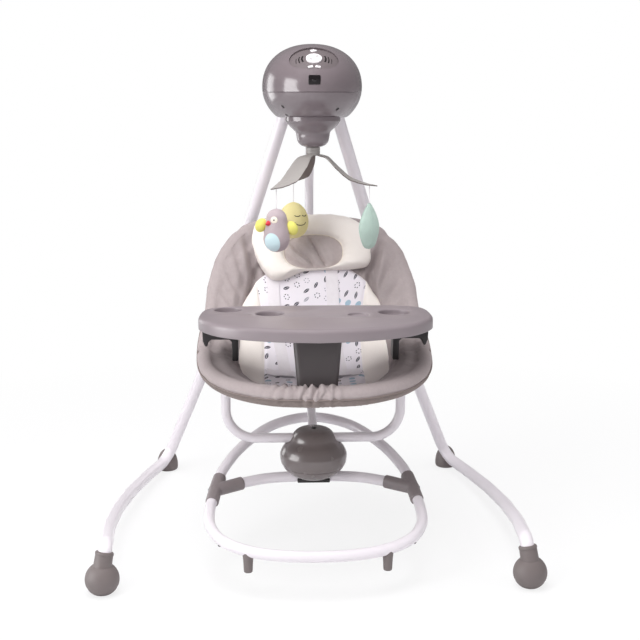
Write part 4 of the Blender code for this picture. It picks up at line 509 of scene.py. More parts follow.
def curvePoint(points, place):
    # Catmull-Rom curve through the points, read from 0 to 1, as the CAD draws its bent parts
    spans = len(points) - 1
    at = min(max(place, 0.0), 1.0) * spans
    i = min(int(at), spans - 1)
    t = at - i
    p1, p2 = points[i], points[i + 1]
    p0 = points[i - 1] if i else p1 * 2 - p2
    p3 = points[i + 2] if i + 2 <= spans else p2 * 2 - p1
    return (p1 * 2 + (p2 - p0) * t + (p0 * 2 - p1 * 5 + p2 * 4 - p3) * t * t
            + (p1 * 3 - p0 - p2 * 3 + p3) * t * t * t) * 0.5


def smoothPath(points, count):
    return [curvePoint(points, i / count) for i in range(count + 1)]


def mirrorPath(points):
    return list(points) + [Vector((-p.x, p.y, p.z)) for p in points[:-1]][::-1]


def bentPath(corners, bends, steps=14):
    # straight runs joined by arcs, as a tube bender leaves them
    path = [corners[0]]
    for i in range(1, len(corners) - 1):
        corner, bend = corners[i], bends[i - 1]
        back = (corners[i - 1] - corner).normalized()
        ahead = (corners[i + 1] - corner).normalized()
        if not bend:
            path.append(corner)
            continue
        half = back.angle(ahead) / 2
        middle = corner + (back + ahead).normalized() * (bend / math.sin(half))
        first = corner + back * (bend / math.tan(half)) - middle
        last = corner + ahead * (bend / math.tan(half)) - middle
        sweep = first.angle(last)
        for step in range(steps + 1):
            share = step / steps
            path.append(middle + (first * math.sin((1 - share) * sweep) + last * math.sin(share * sweep))
                        / math.sin(sweep))
    path.append(corners[-1])
    return path


def sided(point, side):
    return Vector((point[0] * side, point[1], point[2]))


sides = ((-1, "left"), (1, "right"))


# stand: two upper tubes, two floor tubes, four feet, two lock buttons

standSpec = {
    "tube": 0.027, "spigot": 0.0234,
    "top": Vector((0.063, 0.058, 0.872)), "grip": 0.060, "joint": Vector((0.2548, 0.284, 0.2805)),
    "straight": 0.030, "rearCorner": Vector((0.356, 0.386, 0.026)), "rearBend": 0.036,
    "frontCorner": Vector((0.404, -0.345, 0.093)), "frontBend": 0.028, "end": Vector((0.4135, -0.357, 0.034)),
    "bow": 0.0385, "railPoints": 5, "buttonAbove": 0.025,
}


def floorTubePath(side):
    s = standSpec
    down = sided(s["joint"] - s["top"], side).normalized()
    joint = sided(s["joint"], side)
    rail = []
    for i in range(1, s["railPoints"]):
        t = i / s["railPoints"]
        point = s["rearCorner"].lerp(s["frontCorner"], t)
        point.x += s["bow"] * 4 * t * (1 - t)
        point.z = s["rearCorner"].z + (s["frontCorner"].z - s["rearCorner"].z) * t ** 1.5
        rail.append(sided(point, side))
    corners = [joint + down * 0.0008, joint + down * s["straight"], sided(s["rearCorner"], side), *rail,
               sided(s["frontCorner"], side), sided(s["end"], side)]
    # the rail's own corners get long gentle bends
    return bentPath(corners, [0, s["rearBend"]] + [0.35] * len(rail) + [s["frontBend"]], 10)


for side, label in sides:
    s = standSpec
    top, joint = sided(s["top"], side), sided(s["joint"], side)
    down = (joint - top).normalized()
    steelTube([top - down * s["grip"], joint - down * 0.0006, joint], s["tube"], label + "UpperTube", "stand",
              label + "_upper_tube", [1, 1, 0.985])
    route = floorTubePath(side)
    route = [joint - down * 0.045, joint + down * 0.0002, joint + down * 0.0006] + route
    share = s["spigot"] / s["tube"]
    steelTube(route, s["tube"], label + "FloorTube", "stand", label + "_floor_tube",
              [share, share, 0.985] + [1] * (len(route) - 3))
    lock = joint - down * s["buttonAbove"]
    out = Vector((side, 0, 0))
    out = (out - down * out.dot(down)).normalized()
    dress(barrel(lock + out * 0.010, lock + out * (s["tube"] / 2 + 0.0036), 0.0034, edge=0.0009),
          label + "SnapButton", label + "_lock", "zincSteel", [label + "_snap_button"])

footSpec = {
    "place": Vector((0.4118, -0.352, 0.0)), "radius": 0.033, "height": 0.062, "lowAngle": 62.0, "highAngle": 80.0,
    "sleeve": 0.0175, "sleeveTop": 0.082, "partingAngle": -26.0, "partingDepth": 0.0006,
    "boot": Vector((0.355, 0.384, 0.0)), "bootRadius": 0.026, "bootHeight": 0.054,
}
for side, label in sides:
    f = footSpec
    middle = f["height"] * 0.46
    ball = [(0.0, 0.0), (f["radius"] * 0.42, 0.0), (f["radius"] * 0.47, 0.0006)]
    for i in range(25):
        angle = math.radians(-f["lowAngle"] + (f["lowAngle"] + f["highAngle"]) * i / 24)
        reach = f["height"] - middle if angle > 0 else middle / math.sin(math.radians(f["lowAngle"]))
        radius = f["radius"] * math.cos(angle)
        if abs(math.degrees(angle) - f["partingAngle"]) < 3:
            radius -= f["partingDepth"]  # groove between the halves of the moulding
        ball.append((radius, max(middle + reach * math.sin(angle), 0.0012)))
    ball.append((0.0, f["height"]))
    foot = lathe(ball, sided(f["place"], side), 64)
    end, corner = sided(standSpec["end"], side), sided(standSpec["frontCorner"], side)
    up = (corner - end).normalized()
    collarTop = end + up * ((f["sleeveTop"] - end.z) / up.z)
    collar = barrel(end, collarTop, f["sleeve"] * 1.04, f["sleeve"] * 0.97, edge=0.0015)
    lip = barrel(collarTop - up * 0.006, collarTop - up * 0.0015, f["sleeve"] * 1.02, edge=0.0008)
    carve(foot, collar, lip, operation="UNION")
    dress(foot, "front" + label.title() + "Foot", "stand", "taupeRubber",
          ["front_" + label + "_foot"], sharp=30)
    boot = [(0.0, 0.0), (0.88, 0.0), (1.0, 0.12), (1.0, 0.26), (0.98, 0.42), (0.86, 0.66), (0.62, 0.87),
            (0.30, 0.985), (0.0, 1.0)]
    boot = [(r * f["bootRadius"], z * f["bootHeight"]) for r, z in boot]
    dress(lathe(softened(boot, 3), sided(f["boot"], side), 56), "rear" + label.title() + "Foot", "stand",
          "taupeRubber", ["rear_" + label + "_foot"], sharp=50)
print("stand ready")


# motor head: superellipse dome over a quarter-ellipse bowl, with a recessed control panel

headSpec = {
    "y": -0.045, "halfWidth": 0.101, "halfDepth": 0.155, "widest": 0.950, "top": 1.036, "split": 0.941,
    "floor": 0.891, "lowerReach": 0.0828, "round": 2.2, "wall": 0.0028, "steps": 128,
    "armSlot": (0.0235, 0.0505, 0.079),
}
headStretch = (1, headSpec["halfDepth"] / headSpec["halfWidth"])
headPlace = (0, headSpec["y"], 0)


def domeProfile(inset, drop=0.0, count=30):
    h = headSpec
    power = 2 / h["round"]
    rise = h["top"] - h["widest"] - inset - drop
    made = []
    for i in range(count + 1):
        angle = math.radians(90 * i / count)
        made.append(((h["halfWidth"] - inset) * max(math.sin(angle), 0) ** power,
                     h["widest"] + rise * max(math.cos(angle), 0) ** power))
    return made


def bowlPoint(height, inset):
    h = headSpec
    share = (h["widest"] - height) / (h["lowerReach"] - inset)
    return ((h["halfWidth"] - inset) * math.sqrt(max(1 - share * share, 0)), height)


panelSpec = {
    "place": Vector((0.0, -0.1585, 1.00566)), "tilt": math.radians(32.6), "halfWidth": 0.0475,
    "halfLength": 0.0385,
    "thick": 0.0025, "drop": 0.004, "power": (0.0, -0.1360), "powerRadius": 0.0065, "pad": (0.0, -0.1680),
    "padRadius": 0.0155, "keyY": -0.1860, "keyAside": 0.0072, "keySize": (0.010, 0.0050),
    "proud": 0.0018, "crown": 0.0006,
    "depth": 0.0040, "slotAside": (0.0230, 0.029, 0.0345), "slotSweep": (25.0, 19.0, 11.0),
    "slotRadius": (0.0017, 0.0012, 0.0008),
}
panelTurn = Matrix((Vector((1, 0, 0)), Vector((0, math.cos(panelSpec["tilt"]), math.sin(panelSpec["tilt"]))),
                    Vector((0, -math.sin(panelSpec["tilt"]), math.cos(panelSpec["tilt"]))))).transposed()


def panelHeight(x, y):
    h = headSpec
    share = math.hypot(x / h["halfWidth"], (y - h["y"]) / h["halfDepth"])
    rise = h["top"] - panelSpec["drop"] - h["widest"]
    return h["widest"] + rise * max(1 - share ** h["round"], 0) ** (1 / h["round"])


def panelSeat(x, y):
    # a place on the panel, with axes right, up the slope and out
    step = 0.001
    across = Vector((2 * step, 0, panelHeight(x + step, y) - panelHeight(x - step, y)))
    along = Vector((0, 2 * step, panelHeight(x, y + step) - panelHeight(x, y - step)))
    out = across.cross(along).normalized()
    right = across.normalized()
    return Vector((x, y, panelHeight(x, y))), Matrix((right, out.cross(right), out)).transposed()


def panelOval(inset, low, high, flare=0.0):
    p = panelSpec
    wide, long = p["halfWidth"] - inset, p["halfLength"] - inset
    oval = lathe([(0, low), (wide, low), (wide + flare, high), (0, high)], (0, 0, 0), 96, (1, long / wide))
    oval.data.transform(Matrix.Translation(p["place"]) @ panelTurn.to_4x4())
    return oval


def windowBlock(grow, deep):
    size = Vector((0.0226 + 2 * grow, 0.0045 + deep, 0.0174 + 2 * grow))
    bm = bmesh.new()
    bmesh.ops.create_cube(bm, size=1.0)
    bmesh.ops.scale(bm, vec=size, verts=bm.verts)
    corners = [e for e in bm.edges if abs(e.verts[0].co.y - e.verts[1].co.y) > size.y * 0.5]
    bmesh.ops.bevel(bm, geom=corners, offset=0.0022, segments=5, profile=0.5, affect="EDGES", material=-1)
    front = headSpec["y"] - headSpec["halfDepth"]
    bmesh.ops.translate(bm, vec=(0, front + 0.0012 + 0.00225, 0.9636), verts=bm.verts)
    return pieceFrom(bm, "window")


h = headSpec
outer = domeProfile(0) + [bowlPoint(h["split"] + 0.0006, 0), bowlPoint(h["split"], 0.0006)]
inner = domeProfile(h["wall"]) + [bowlPoint(h["split"], h["wall"])]
topShell = lathe(outer + inner[::-1], headPlace, h["steps"], headStretch)
carve(topShell, panelOval(-0.0003, -0.03, 0.04), windowBlock(0.0003, 0.03))
modify(topShell, "BEVEL", width=0.0008, segments=3, limit_method="ANGLE", angle_limit=math.radians(50))
dress(topShell, "headTopShell", "stand", "glossyTaupeAbs", ["head_top_shell"], sharp=30)

rim = h["split"] - 0.0003
steps = [rim - (rim - h["floor"]) * i / 14 for i in range(15)]
floorIn = h["floor"] + 0.003
innerSteps = [rim - (rim - floorIn) * i / 14 for i in range(15)]
floorEdge = bowlPoint(h["floor"], 0)[0] - 0.0012
profile = ([(0, h["floor"]), (floorEdge, h["floor"])] + [bowlPoint(z, 0) for z in steps[::-1]][1:-1]
           + [bowlPoint(rim - 0.0006, 0), bowlPoint(rim, 0.0006)]
           + [bowlPoint(z, h["wall"]) for z in innerSteps] + [(0, floorIn)])
baseShell = lathe(profile, headPlace, h["steps"], headStretch)
halfSlot, slotFront, slotRear = h["armSlot"]
armSlot = roundedBox((0, (slotFront + slotRear) / 2, h["floor"]),
                     (2 * halfSlot, slotRear - slotFront, 0.04), 0.004)
tubeHoles = []
for side, _ in sides:
    top, joint = sided(standSpec["top"], side), sided(standSpec["joint"], side)
    down = (joint - top).normalized()
    tubeHoles.append(barrel(top - down * 0.09, top + down * 0.02, standSpec["tube"] / 2 + 0.0008))
inletHole = barrel((0.045, 0.065, 0.920), (0.045, 0.115, 0.920), 0.0062)
carve(baseShell, armSlot, *tubeHoles, inletHole)
# case screws in their wells in the lower shell, at the places the photograph shows
caseScrews = []
for angle, height in ((-131.5, 0.9130), (-58.5, 0.9085), (-133.0, 0.8965)):
    radius, _ = bowlPoint(height, 0)
    nearer, _ = bowlPoint(height + 0.001, 0)
    a = math.radians(angle)
    spot = Vector((radius * math.cos(a), h["y"] + radius * headStretch[1] * math.sin(a), height))
    out = Vector((math.cos(a), math.sin(a) / headStretch[1], (radius - nearer) / 0.001)).normalized()
    carve(baseShell, barrel(spot - out * 0.0024, spot + out * 0.004, 0.0038, segments=28))
    caseScrews.append(barrel(spot - out * 0.0023, spot - out * 0.0009, 0.0034, segments=28, edge=0.0004))
dress(merged("caseScrews", *caseScrews), "caseScrews", "stand", "blackNylon")
dress(baseShell, "headBaseShell", "stand", "glossyTaupeAbs", ["head_base_shell"], sharp=30)

# control panel: the dome again, 4 mm lower, trimmed to the oval, with arc slots over the speaker
p = panelSpec
panel = panelOval(0.0, -0.03, 0.035)
floorLevel = bowlPoint(h["split"], 0)
dropped = lathe(domeProfile(0, p["drop"]) + [floorLevel, (0, h["split"])], headPlace, 96, headStretch)
hollowEnd = h["split"] - 0.01
hollow = lathe(domeProfile(p["thick"], p["drop"]) + [(floorLevel[0] - p["thick"], hollowEnd), (0, hollowEnd)],
               headPlace, 96, headStretch)
carve(panel, dropped, operation="INTERSECT")
carve(panel, hollow)
arcMiddle = p["pad"][1] + 0.004
for side, _ in sides:
    for aside, sweep, slotRadius in zip(p["slotAside"], p["slotSweep"], p["slotRadius"]):
        arc = []
        for i in range(13):
            angle = math.radians(-sweep + 2 * sweep * i / 12)
            x, y = side * aside * math.cos(angle), arcMiddle + aside * math.sin(angle) * 0.9
            arc.append(Vector((x, y, panelHeight(x, y))))
        slotCutter = tubeAlong(arc, slotRadius, 12)
        # painted shade: the cutter's black nylon stays on the slot walls it cuts
        slotCutter.data.materials.append(looks["blackNylon"])
        carve(panel, slotCutter)
for place, radius in ((p["power"], p["powerRadius"]), (p["pad"], p["padRadius"])):
    centre, turn = panelSeat(*place)
    through = turn.col[2] * 0.014
    carve(panel, barrel(centre - through, centre + through, radius + 0.0004, segments=64))
for side, _ in sides:
    centre, turn = panelSeat(side * p["keyAside"], p["keyY"])
    carve(panel, roundedBox(centre, (p["keySize"][0] + 0.0007, p["keySize"][1] + 0.0007, 0.02), 0.0009, turn))
# the plain cutters leave the first slot empty; the second is the black nylon that the slot cutters leave on the
# slot walls, painted shade
panel.data.materials[0] = looks["satinTaupeAbs"]
dress(panel, "controlPanel", "stand", "satinTaupeAbs", ["control_panel"], sharp=35,
      keepLooks=True)


def roundKey(place, radius, name, body):
    # a low domed button with a rolled edge
    centre, turn = panelSeat(*place)
    crown, edge, top = p["crown"], 0.0010, p["proud"]
    profile = [(0, -p["depth"]), (radius, -p["depth"]), (radius, top - edge)]
    for i in range(1, 7):
        angle = math.radians(15 * i)
        profile.append((radius - edge + edge * math.cos(angle), top - edge + edge * math.sin(angle)))
    profile += [(radius * 0.6, top + crown * 0.6), (radius * 0.3, top + crown * 0.9), (0, top + crown)]
    key = lathe(profile, centre, 56, turn=turn)
    return dress(key, name, body, "whiteAbs"), centre, turn


def inkLine(points, centre, turn, width, radius):
    # a printed line on a domed key, a tenth of a millimetre proud
    bent = []
    for x, y in points:
        rise = p["proud"] + p["crown"] * (1 - (math.hypot(x, y) / radius) ** 2) + 0.00005
        bent.append(centre + turn @ Vector((x, y, rise)))
    return tubeAlong(bent, width, 8)


power, centre, turn = roundKey(p["power"], p["powerRadius"], "powerKey", "power")
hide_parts("power_button")
ringRadius = 0.0032
ringPoints = [(ringRadius * math.sin(math.radians(a)), ringRadius * math.cos(math.radians(a)))
              for a in range(35, 330, 15)]
mark = merged("powerMark", inkLine(ringPoints, centre, turn, 0.0004, p["powerRadius"]),
              inkLine([(0, 0.0042), (0, 0.0012)], centre, turn, 0.0004, p["powerRadius"]))
dress(mark, "powerMark", "power", "keyInk")
pad, centre, turn = roundKey(p["pad"], p["padRadius"], "modePad", "pad")
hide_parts("mode_pad")
swirl = [(-0.0125 + 0.025 * i / 24, 0.0034 * math.sin(math.radians(-150 + 300 * i / 24))) for i in range(25)]
marks = [inkLine(swirl, centre, turn, 0.00045, p["padRadius"])]
for sign in (-1, 1):
    tick = [(0.0018 * math.cos(math.radians(a)) + sign * 0.006,
             0.0018 * math.sin(math.radians(a)) + sign * 0.0072) for a in range(0, 361, 30)]
    marks.append(inkLine(tick, centre, turn, 0.00035, p["padRadius"]))
dress(merged("padMark", *marks), "padMark", "pad", "keyInk")
for side, label in sides:
    centre, turn = panelSeat(side * p["keyAside"], p["keyY"])
    size = (*p["keySize"], p["depth"] + p["proud"])
    key = roundedBox(centre + turn.col[2] * (p["proud"] - p["depth"]) / 2, size, 0.0009, turn)
    dress(key, label + "Key", label + "_key", "whiteAbs", [label + "_key"])
    bars = [roundedBox(centre + turn @ Vector((0, 0, p["proud"])), (0.0042, 0.0008, 0.0002), 0, turn)]
    if side > 0:
        bars.append(roundedBox(centre + turn @ Vector((0, 0, p["proud"])), (0.0008, 0.0030, 0.00024), 0, turn))
    dress(merged("keyMark", *bars), label + "KeyMark", label + "_key", "keyInk")

window = windowBlock(0.0, 0.0)
modify(window, "BEVEL", width=0.0006, segments=3, limit_method="ANGLE", angle_limit=math.radians(60))
dress(window, "sensorWindow", "stand", "smokedAcrylic", ["sensor_window"])
lensPlace = Vector((0, h["y"] - h["halfDepth"] + 0.0012, 0.9636))
sensor = lathe(softened([(0, -0.0002), (0.0036, -0.0002), (0.0034, 0.0007), (0, 0.0012)], 2), lensPlace, 32,
               turn=Matrix.Rotation(math.radians(90), 3, "X"))
dress(sensor, "sensorLens", "stand", "smokedAcrylic")

print("motor head ready")


# bowl under the head, and the mobile's collar
bowlSpec = {"y": -0.105, "radius": 0.0545, "step": 0.0328, "bottom": 0.8335, "wall": 0.0025, "neck": 0.014,
            "neckBottom": 0.8200, "shaft": 0.0042}
b = bowlSpec
low, ledge, wide = b["bottom"], b["step"], b["radius"]
topZ = h["floor"] + 0.0029  # let into the shell's floor, so that the two mouldings meet without a step
outerBowl = [(ledge * r, low + z) for r, z in ((0.45, 0), (0.72, .0025), (0.93, .0095), (1, .0190),
                                               (1.03, .0290), (1.20, .0345))]
outerBowl += [(wide * 0.90, low + 0.0430), (wide, low + 0.0515)]
hole = b["shaft"] + 0.0003
bowlRim = softened([(wide, topZ - 0.003), (wide, topZ), (wide - 0.003, topZ)], 2)
bowl = lathe([(hole, low)] + softened(outerBowl, 2) + bowlRim + [(hole, topZ), (hole, low)], (0, b["y"], 0), 96)
dress(bowl, "mobileBowl", "stand", "glossyTaupeAbs", ["mobile_bowl"], sharp=28)
collarTop = low - 0.0004
neck = [(0, b["neckBottom"]), (b["neck"] * 0.94, b["neckBottom"]), (b["neck"], b["neckBottom"] + 0.001)]
# a groove round the collar and its rounded top edge
neck += [(b["neck"] * r, collarTop - z) for r, z in ((1, .0078), (0.955, .0074), (0.955, .0066), (1, .0062),
                                                     (1, .0008), (0.95, 0))]
neck += [(b["shaft"], collarTop), (b["shaft"], low + 0.0042), (0, low + 0.0042)]
dress(lathe(neck, (0, b["y"], 0), 64), "mobileHub", "mobile", "leafPlastic", ["mobile_hub"])
print("bowl ready")


# swing arm, hub pod and seat carrier

armSpec = {
    "tube": 0.019,
    "corners": (Vector((0, 0.0645, 0.912)), Vector((0, 0.0645, 0.862)), Vector((0, 0.172, 0.740)),
                Vector((0, 0.182, 0.400)), Vector((0, 0.130, 0.262)), Vector((0, -0.086, 0.236))),
    "bends": (0.045, 0.070, 0.120, 0.060),
}
armPath = bentPath(list(armSpec["corners"]), armSpec["bends"])
steelTube(armPath, armSpec["tube"], "swingArm", "swing", "swing_arm")
carrierSpec = {"tube": 0.020, "half": 0.182, "bottom": 0.231, "top": 0.352, "bend": 0.062, "y": -0.11}
c = carrierSpec
carrierPath = bentPath([Vector((c["half"], c["y"], c["top"])), Vector((c["half"], c["y"], c["bottom"])),
                        Vector((-c["half"], c["y"], c["bottom"])), Vector((-c["half"], c["y"], c["top"]))],
                       (c["bend"], c["bend"]), 18)
steelTube(carrierPath, c["tube"], "seatCarrier", "swing", "seat_u_tube")

podSpec = {"y": -0.11, "top": 0.2545, "widest": 0.195, "radius": 0.0705, "seam": 0.172, "bottom": 0.146,
           "shoulder": 0.046}
d = podSpec
cap = [(d["shoulder"] * r, d["top"] - z) for r, z in ((0, 0), (0.48, .0012), (0.78, .0065), (0.97, .017),
                                                      (1.06, .028))]
cap += [(d["radius"] * 0.885, d["widest"] + 0.020), (d["radius"] * 0.985, d["widest"] + 0.007),
       (d["radius"], d["widest"]), (d["radius"] * 0.975, d["seam"] + 0.007), (d["radius"] * 0.91, d["seam"])]
upperPod = lathe(softened(cap, 3) + [(d["radius"] * 0.895, d["seam"]), (0, d["seam"])], (0, d["y"], 0), 96)
buttonY = d["y"] - 0.008
carrierHole = [Vector((-0.1, c["y"], c["bottom"])), Vector((0.1, c["y"], c["bottom"]))]
carve(upperPod, tubeAlong(carrierHole, c["tube"] / 2 + 0.0006),
      barrel((0, 0.03, 0.2500), (0, -0.092, 0.2352), armSpec["tube"] / 2 + 0.0008),
      barrel((0, buttonY, d["top"] - 0.012), (0, buttonY, d["top"] + 0.01), 0.0052))
dress(upperPod, "podUpperShell", "swing", "podAbs", ["pod_upper_shell"], sharp=35)
under = [(d["radius"] * 0.895, d["seam"] - 0.0004), (d["radius"] * 0.91, d["seam"] - 0.0010),
         (d["radius"] * 0.80, d["seam"] - 0.011), (d["radius"] * 0.62, d["bottom"] + 0.0055),
         (d["radius"] * 0.44, d["bottom"])]
lowerPod = lathe([(0, d["seam"] - 0.0004)] + softened(under, 2) + [(0, d["bottom"])], (0, d["y"], 0), 96)
dress(lowerPod, "podLowerShell", "swing", "podAbs", ["pod_lower_shell"], sharp=35)
release = barrel((0, buttonY, d["top"] - 0.010), (0, buttonY, d["top"] + 0.0015), 0.0048, edge=0.0008)
dress(release, "releaseButton", "release", "blackNylon", ["release_button"])
print("arm and pod ready")


# rocker: front loop, rear arch and cross tube in two three-way connectors, on two pegs

rockerSpec = {
    "tube": 0.022,
    "loop": [Vector(v) for v in ((.2060, -.178, .1300), (.2120, -.225, .1180), (.2070, -.290, .1060),
                                 (.1750, -.350, .0970), (.1050, -.389, .0900), (0, -.402, .0880))],
    "arch": [Vector(v) for v in ((.2025, -.146, .1420), (.1880, -.095, .1620), (.1500, -.025, .1880),
                                 (.0850, .045, .2130), (0, .072, .2230))],
    "cross": [Vector(v) for v in ((.1720, -.1405, .1390), (.1000, -.1150, .1440), (.0340, -.1100, .1460),
                                  (0, -.1100, .1460))],
    "sleeve": 0.0138, "overlap": 0.024, "pegX": 0.130, "pegBottom": 0.050,
}
r = rockerSpec
loopPath = smoothPath(mirrorPath(r["loop"]), 90)
archPath = smoothPath(mirrorPath(r["arch"]), 70)
crossPath = smoothPath(mirrorPath(r["cross"]), 50)
for name, node, route in (("rockerLoop", "rocker_loop", loopPath), ("rockerArch", "rocker_arch", archPath),
                          ("rockerCross", "rocker_cross_tube", crossPath)):
    steelTube(route, r["tube"], name, "swing", node)
for side, label in sides:
    ends = []
    for half in (r["loop"], r["arch"], r["cross"]):
        start = sided(half[0], side)
        along = (sided(half[1], side) - start).normalized()
        ends.append((start, along))
    middle = (ends[0][0] + ends[1][0]) / 2
    arms = [barrel(middle, start + along * r["overlap"], r["sleeve"] * 0.98, r["sleeve"], 32, edge=0.0012)
            for start, along in ends]
    bm = bmesh.new()
    bmesh.ops.create_uvsphere(bm, u_segments=32, v_segments=16, radius=r["sleeve"] * 1.02)
    bmesh.ops.translate(bm, vec=middle, verts=bm.verts)
    joint = pieceFrom(bm, "joint")
    carve(joint, *arms, operation="UNION")
    modify(joint, "REMESH", mode="VOXEL", voxel_size=0.0011)
    modify(joint, "SMOOTH", factor=0.5, iterations=4)
    dress(joint, label + "Connector", "swing", "connectorNylon", [label + "_connector"],
          sharp=0)
    screw = middle + Vector((side * 0.0135, -0.002, 0.001))
    screwHead = softened([(0, -0.002), (0.0032, -0.002), (0.0034, 0.0004), (0.0026, 0.0014), (0, 0.0014)], 1)
    screwTurn = Vector((side, -0.15, 0.1)).to_track_quat("Z", "Y").to_matrix()
    dress(lathe(screwHead, screw, 24, turn=screwTurn), label + "ConnectorScrew", "swing",
          "zincSteel")
    seatOn = min(loopPath, key=lambda q: abs(q.x - side * r["pegX"]))
    drop = seatOn.z - r["pegBottom"]
    peg = [(0, 0), (0.0072, 0), (0.0085, 0.0014), (0.0092, drop * 0.5), (0.0105, drop * 0.80), (0.0109, drop),
           (0, drop)]
    dress(lathe(softened(peg, 1), (seatOn.x, seatOn.y, r["pegBottom"]), 40), label + "RockerPeg", "swing",
          "taupeRubber", [label + "_rocker_peg"], sharp=45)
    under = min(loopPath, key=lambda q: abs(q.x - side * 0.187))
    padShape = [(0, -0.0128), (0.0052, -0.0128), (0.0062, -0.0112), (0.0062, -0.008), (0, -0.008)]
    dress(lathe(softened(padShape, 1), under, 28), label + "RockerPad", "swing", "blackNylon")
clipTop = d["bottom"] - 0.0003
clip = roundedBox((0, d["y"], (clipTop + 0.1372) / 2), (0.068, 0.036, clipTop - 0.1372), 0.002)
dress(clip, "podClip", "swing", "blackNylon", ["pod_clip"])
print("rocker ready")


# seat: one padded cover lofted round the hidden hoop, with a gathered lip and puffed side bolsters

seatSpec = {
    "hoop": [Vector(v) for v in (
        (0, -.385, .392), (.085, -.375, .393), (.158, -.335, .398), (.205, -.260, .408), (.218, -.160, .430),
        (.2125, -.060, .475), (.200, .005, .535), (.172, .050, .600), (.108, .080, .650), (0, .090, .668))],
    "middle": [Vector(v) for v in (
        (0, -.385, .392), (0, -.345, .378), (0, -.285, .366), (0, -.205, .358), (0, -.125, .362),
        (0, -.070, .392), (0, -.030, .452), (0, .015, .535), (0, .055, .610), (0, .090, .668))],
    "rows": 230, "front": 150, "wrap": 24, "back": 40,
    # offset of the front face against the distance from the hoop, for the lip and for the bolsters, in metres
    "lipProfile": ((0, .0200), (.018, .0195), (.040, .0125), (.062, .0030), (.080, .0005), (.30, .0005)),
    "bolsterProfile": ((0, .0165), (.016, .0225), (.036, .0235), (.056, .0150), (.070, -.0030), (.082, -.0010),
                       (.110, .0005), (.30, .0005)),
    "armProfile": ((0, .0190), (.018, .0290), (.042, .0330), (.060, .0230), (.076, .0050), (.090, .0005),
                   (.30, .0005)),
    "topProfile": ((0, .0095), (.020, .0080), (.045, .0020), (.070, .0), (.30, .0)),
    "backOffset": 0.012, "seamTurn": 2.05, "seamDip": 0.0022, "thinBehind": 0.0058,
    # radius of the piping, its bite into the seam, and how many times over it follows the thinner rear
    "piping": 0.0016, "pipingBite": 0.0006, "pipingSink": 1.3,
    "radius": ((0, .0200), (.30, .0178), (.45, .0172), (.56, .0170), (.68, .0225),
               (.84, .0235), (.93, .0150), (1, .0100)),
    "gatherMiddle": -0.044, "gatherHalf": 0.100, "gatherPitch": 0.0180,
    "gatherDepth": 0.0115, "gatherFine": 0.0014,
}


def stepped(table, at):
    # smooth reading of a small table
    for (x0, y0), (x1, y1) in zip(table, table[1:]):
        if at <= x1:
            t = (at - x0) / (x1 - x0)
            return y0 + (y1 - y0) * (t * t * (3 - 2 * t))
    return table[-1][1]


def slingPoint(along, across):
    side = curvePoint(seatSpec["hoop"], along)
    middle = curvePoint(seatSpec["middle"], along)
    share = across * across
    raised = middle.lerp(side, share)
    return Vector((across * side.x, raised.y, raised.z))


def slingNormal(along, across):
    # kept away from the two ends, where the rows shrink to a point
    a = min(max(along, 0.03), 0.975)
    across *= min(1.0, min(along, 1 - along) / 0.12)
    step = 0.008
    lengthwise = slingPoint(a + step, across) - slingPoint(a - step, across)
    widthwise = slingPoint(a, min(across + step, 1)) - slingPoint(a, max(across - step, -1))
    return widthwise.cross(lengthwise).normalized()


hoopDots = [curvePoint(seatSpec["hoop"], i / 70) for i in range(71)]


def hoopDistance(point):
    spot = Vector((abs(point.x), point.y, point.z))
    return min((spot - q).length for q in hoopDots)


# creases pressed into the cover: along and across at both ends, depth and half width in metres
creases = (
    ((0.835, -0.99), (0.745, -0.64), 0.0095, 0.0070), ((0.785, -0.99), (0.700, -0.70), 0.0040, 0.0060),
    ((0.885, -0.86), (0.800, -0.56), 0.0055, 0.0060), ((0.720, -0.99), (0.655, -0.72), 0.0030, 0.0060),
    ((0.800, -0.80), (0.700, -0.64), 0.0050, 0.0080), ((0.640, -0.97), (0.600, -0.74), 0.0028, 0.0065),
    ((0.815, 1.00), (0.735, 0.66), 0.0110, 0.0080), ((0.745, 0.98), (0.690, 0.72), 0.0040, 0.0060),
    ((0.880, 0.86), (0.810, 0.56), 0.0050, 0.0060), ((0.790, 0.82), (0.690, 0.66), 0.0060, 0.0080),
    ((0.680, 0.98), (0.640, 0.74), 0.0030, 0.0065), ((0.600, 0.97), (0.560, 0.76), 0.0028, 0.0065),
    ((0.430, -1.0), (0.330, -0.66), 0.0085, 0.0060), ((0.430, 1.0), (0.330, 0.66), 0.0085, 0.0060),
    ((0.500, -0.98), (0.440, -0.78), 0.0040, 0.0070), ((0.500, 0.98), (0.440, 0.78), 0.0040, 0.0070),
    ((0.14, -0.5), (0.22, 0.3), 0.0035, 0.009), ((0.15, 0.6), (0.24, -0.2), 0.0030, 0.009),
)
creaseLines = [(slingPoint(*a), slingPoint(*b), depth, half) for a, b, depth, half in creases]


def creaseDepth(point):
    # a groove along each crease, with the cloth pushed up a little on both sides of it
    total = 0.0
    for start, end, depth, half in creaseLines:
        line = end - start
        t = max(0.0, min(1.0, (point - start).dot(line) / line.length_squared))
        gap = (point - start - line * t).length
        if gap < half * 3:
            fade = math.sin(math.pi * min(max(t, 0.16), 0.96)) ** 0.5
            total += depth * fade * math.exp(-(gap / half) ** 2)
            total -= depth * 0.35 * fade * math.exp(-((gap - half * 1.9) / half) ** 2)
    return total


def rumple(point, size, seed):
    return noise.noise(point / size + Vector((seed, seed * 0.37, -seed)))


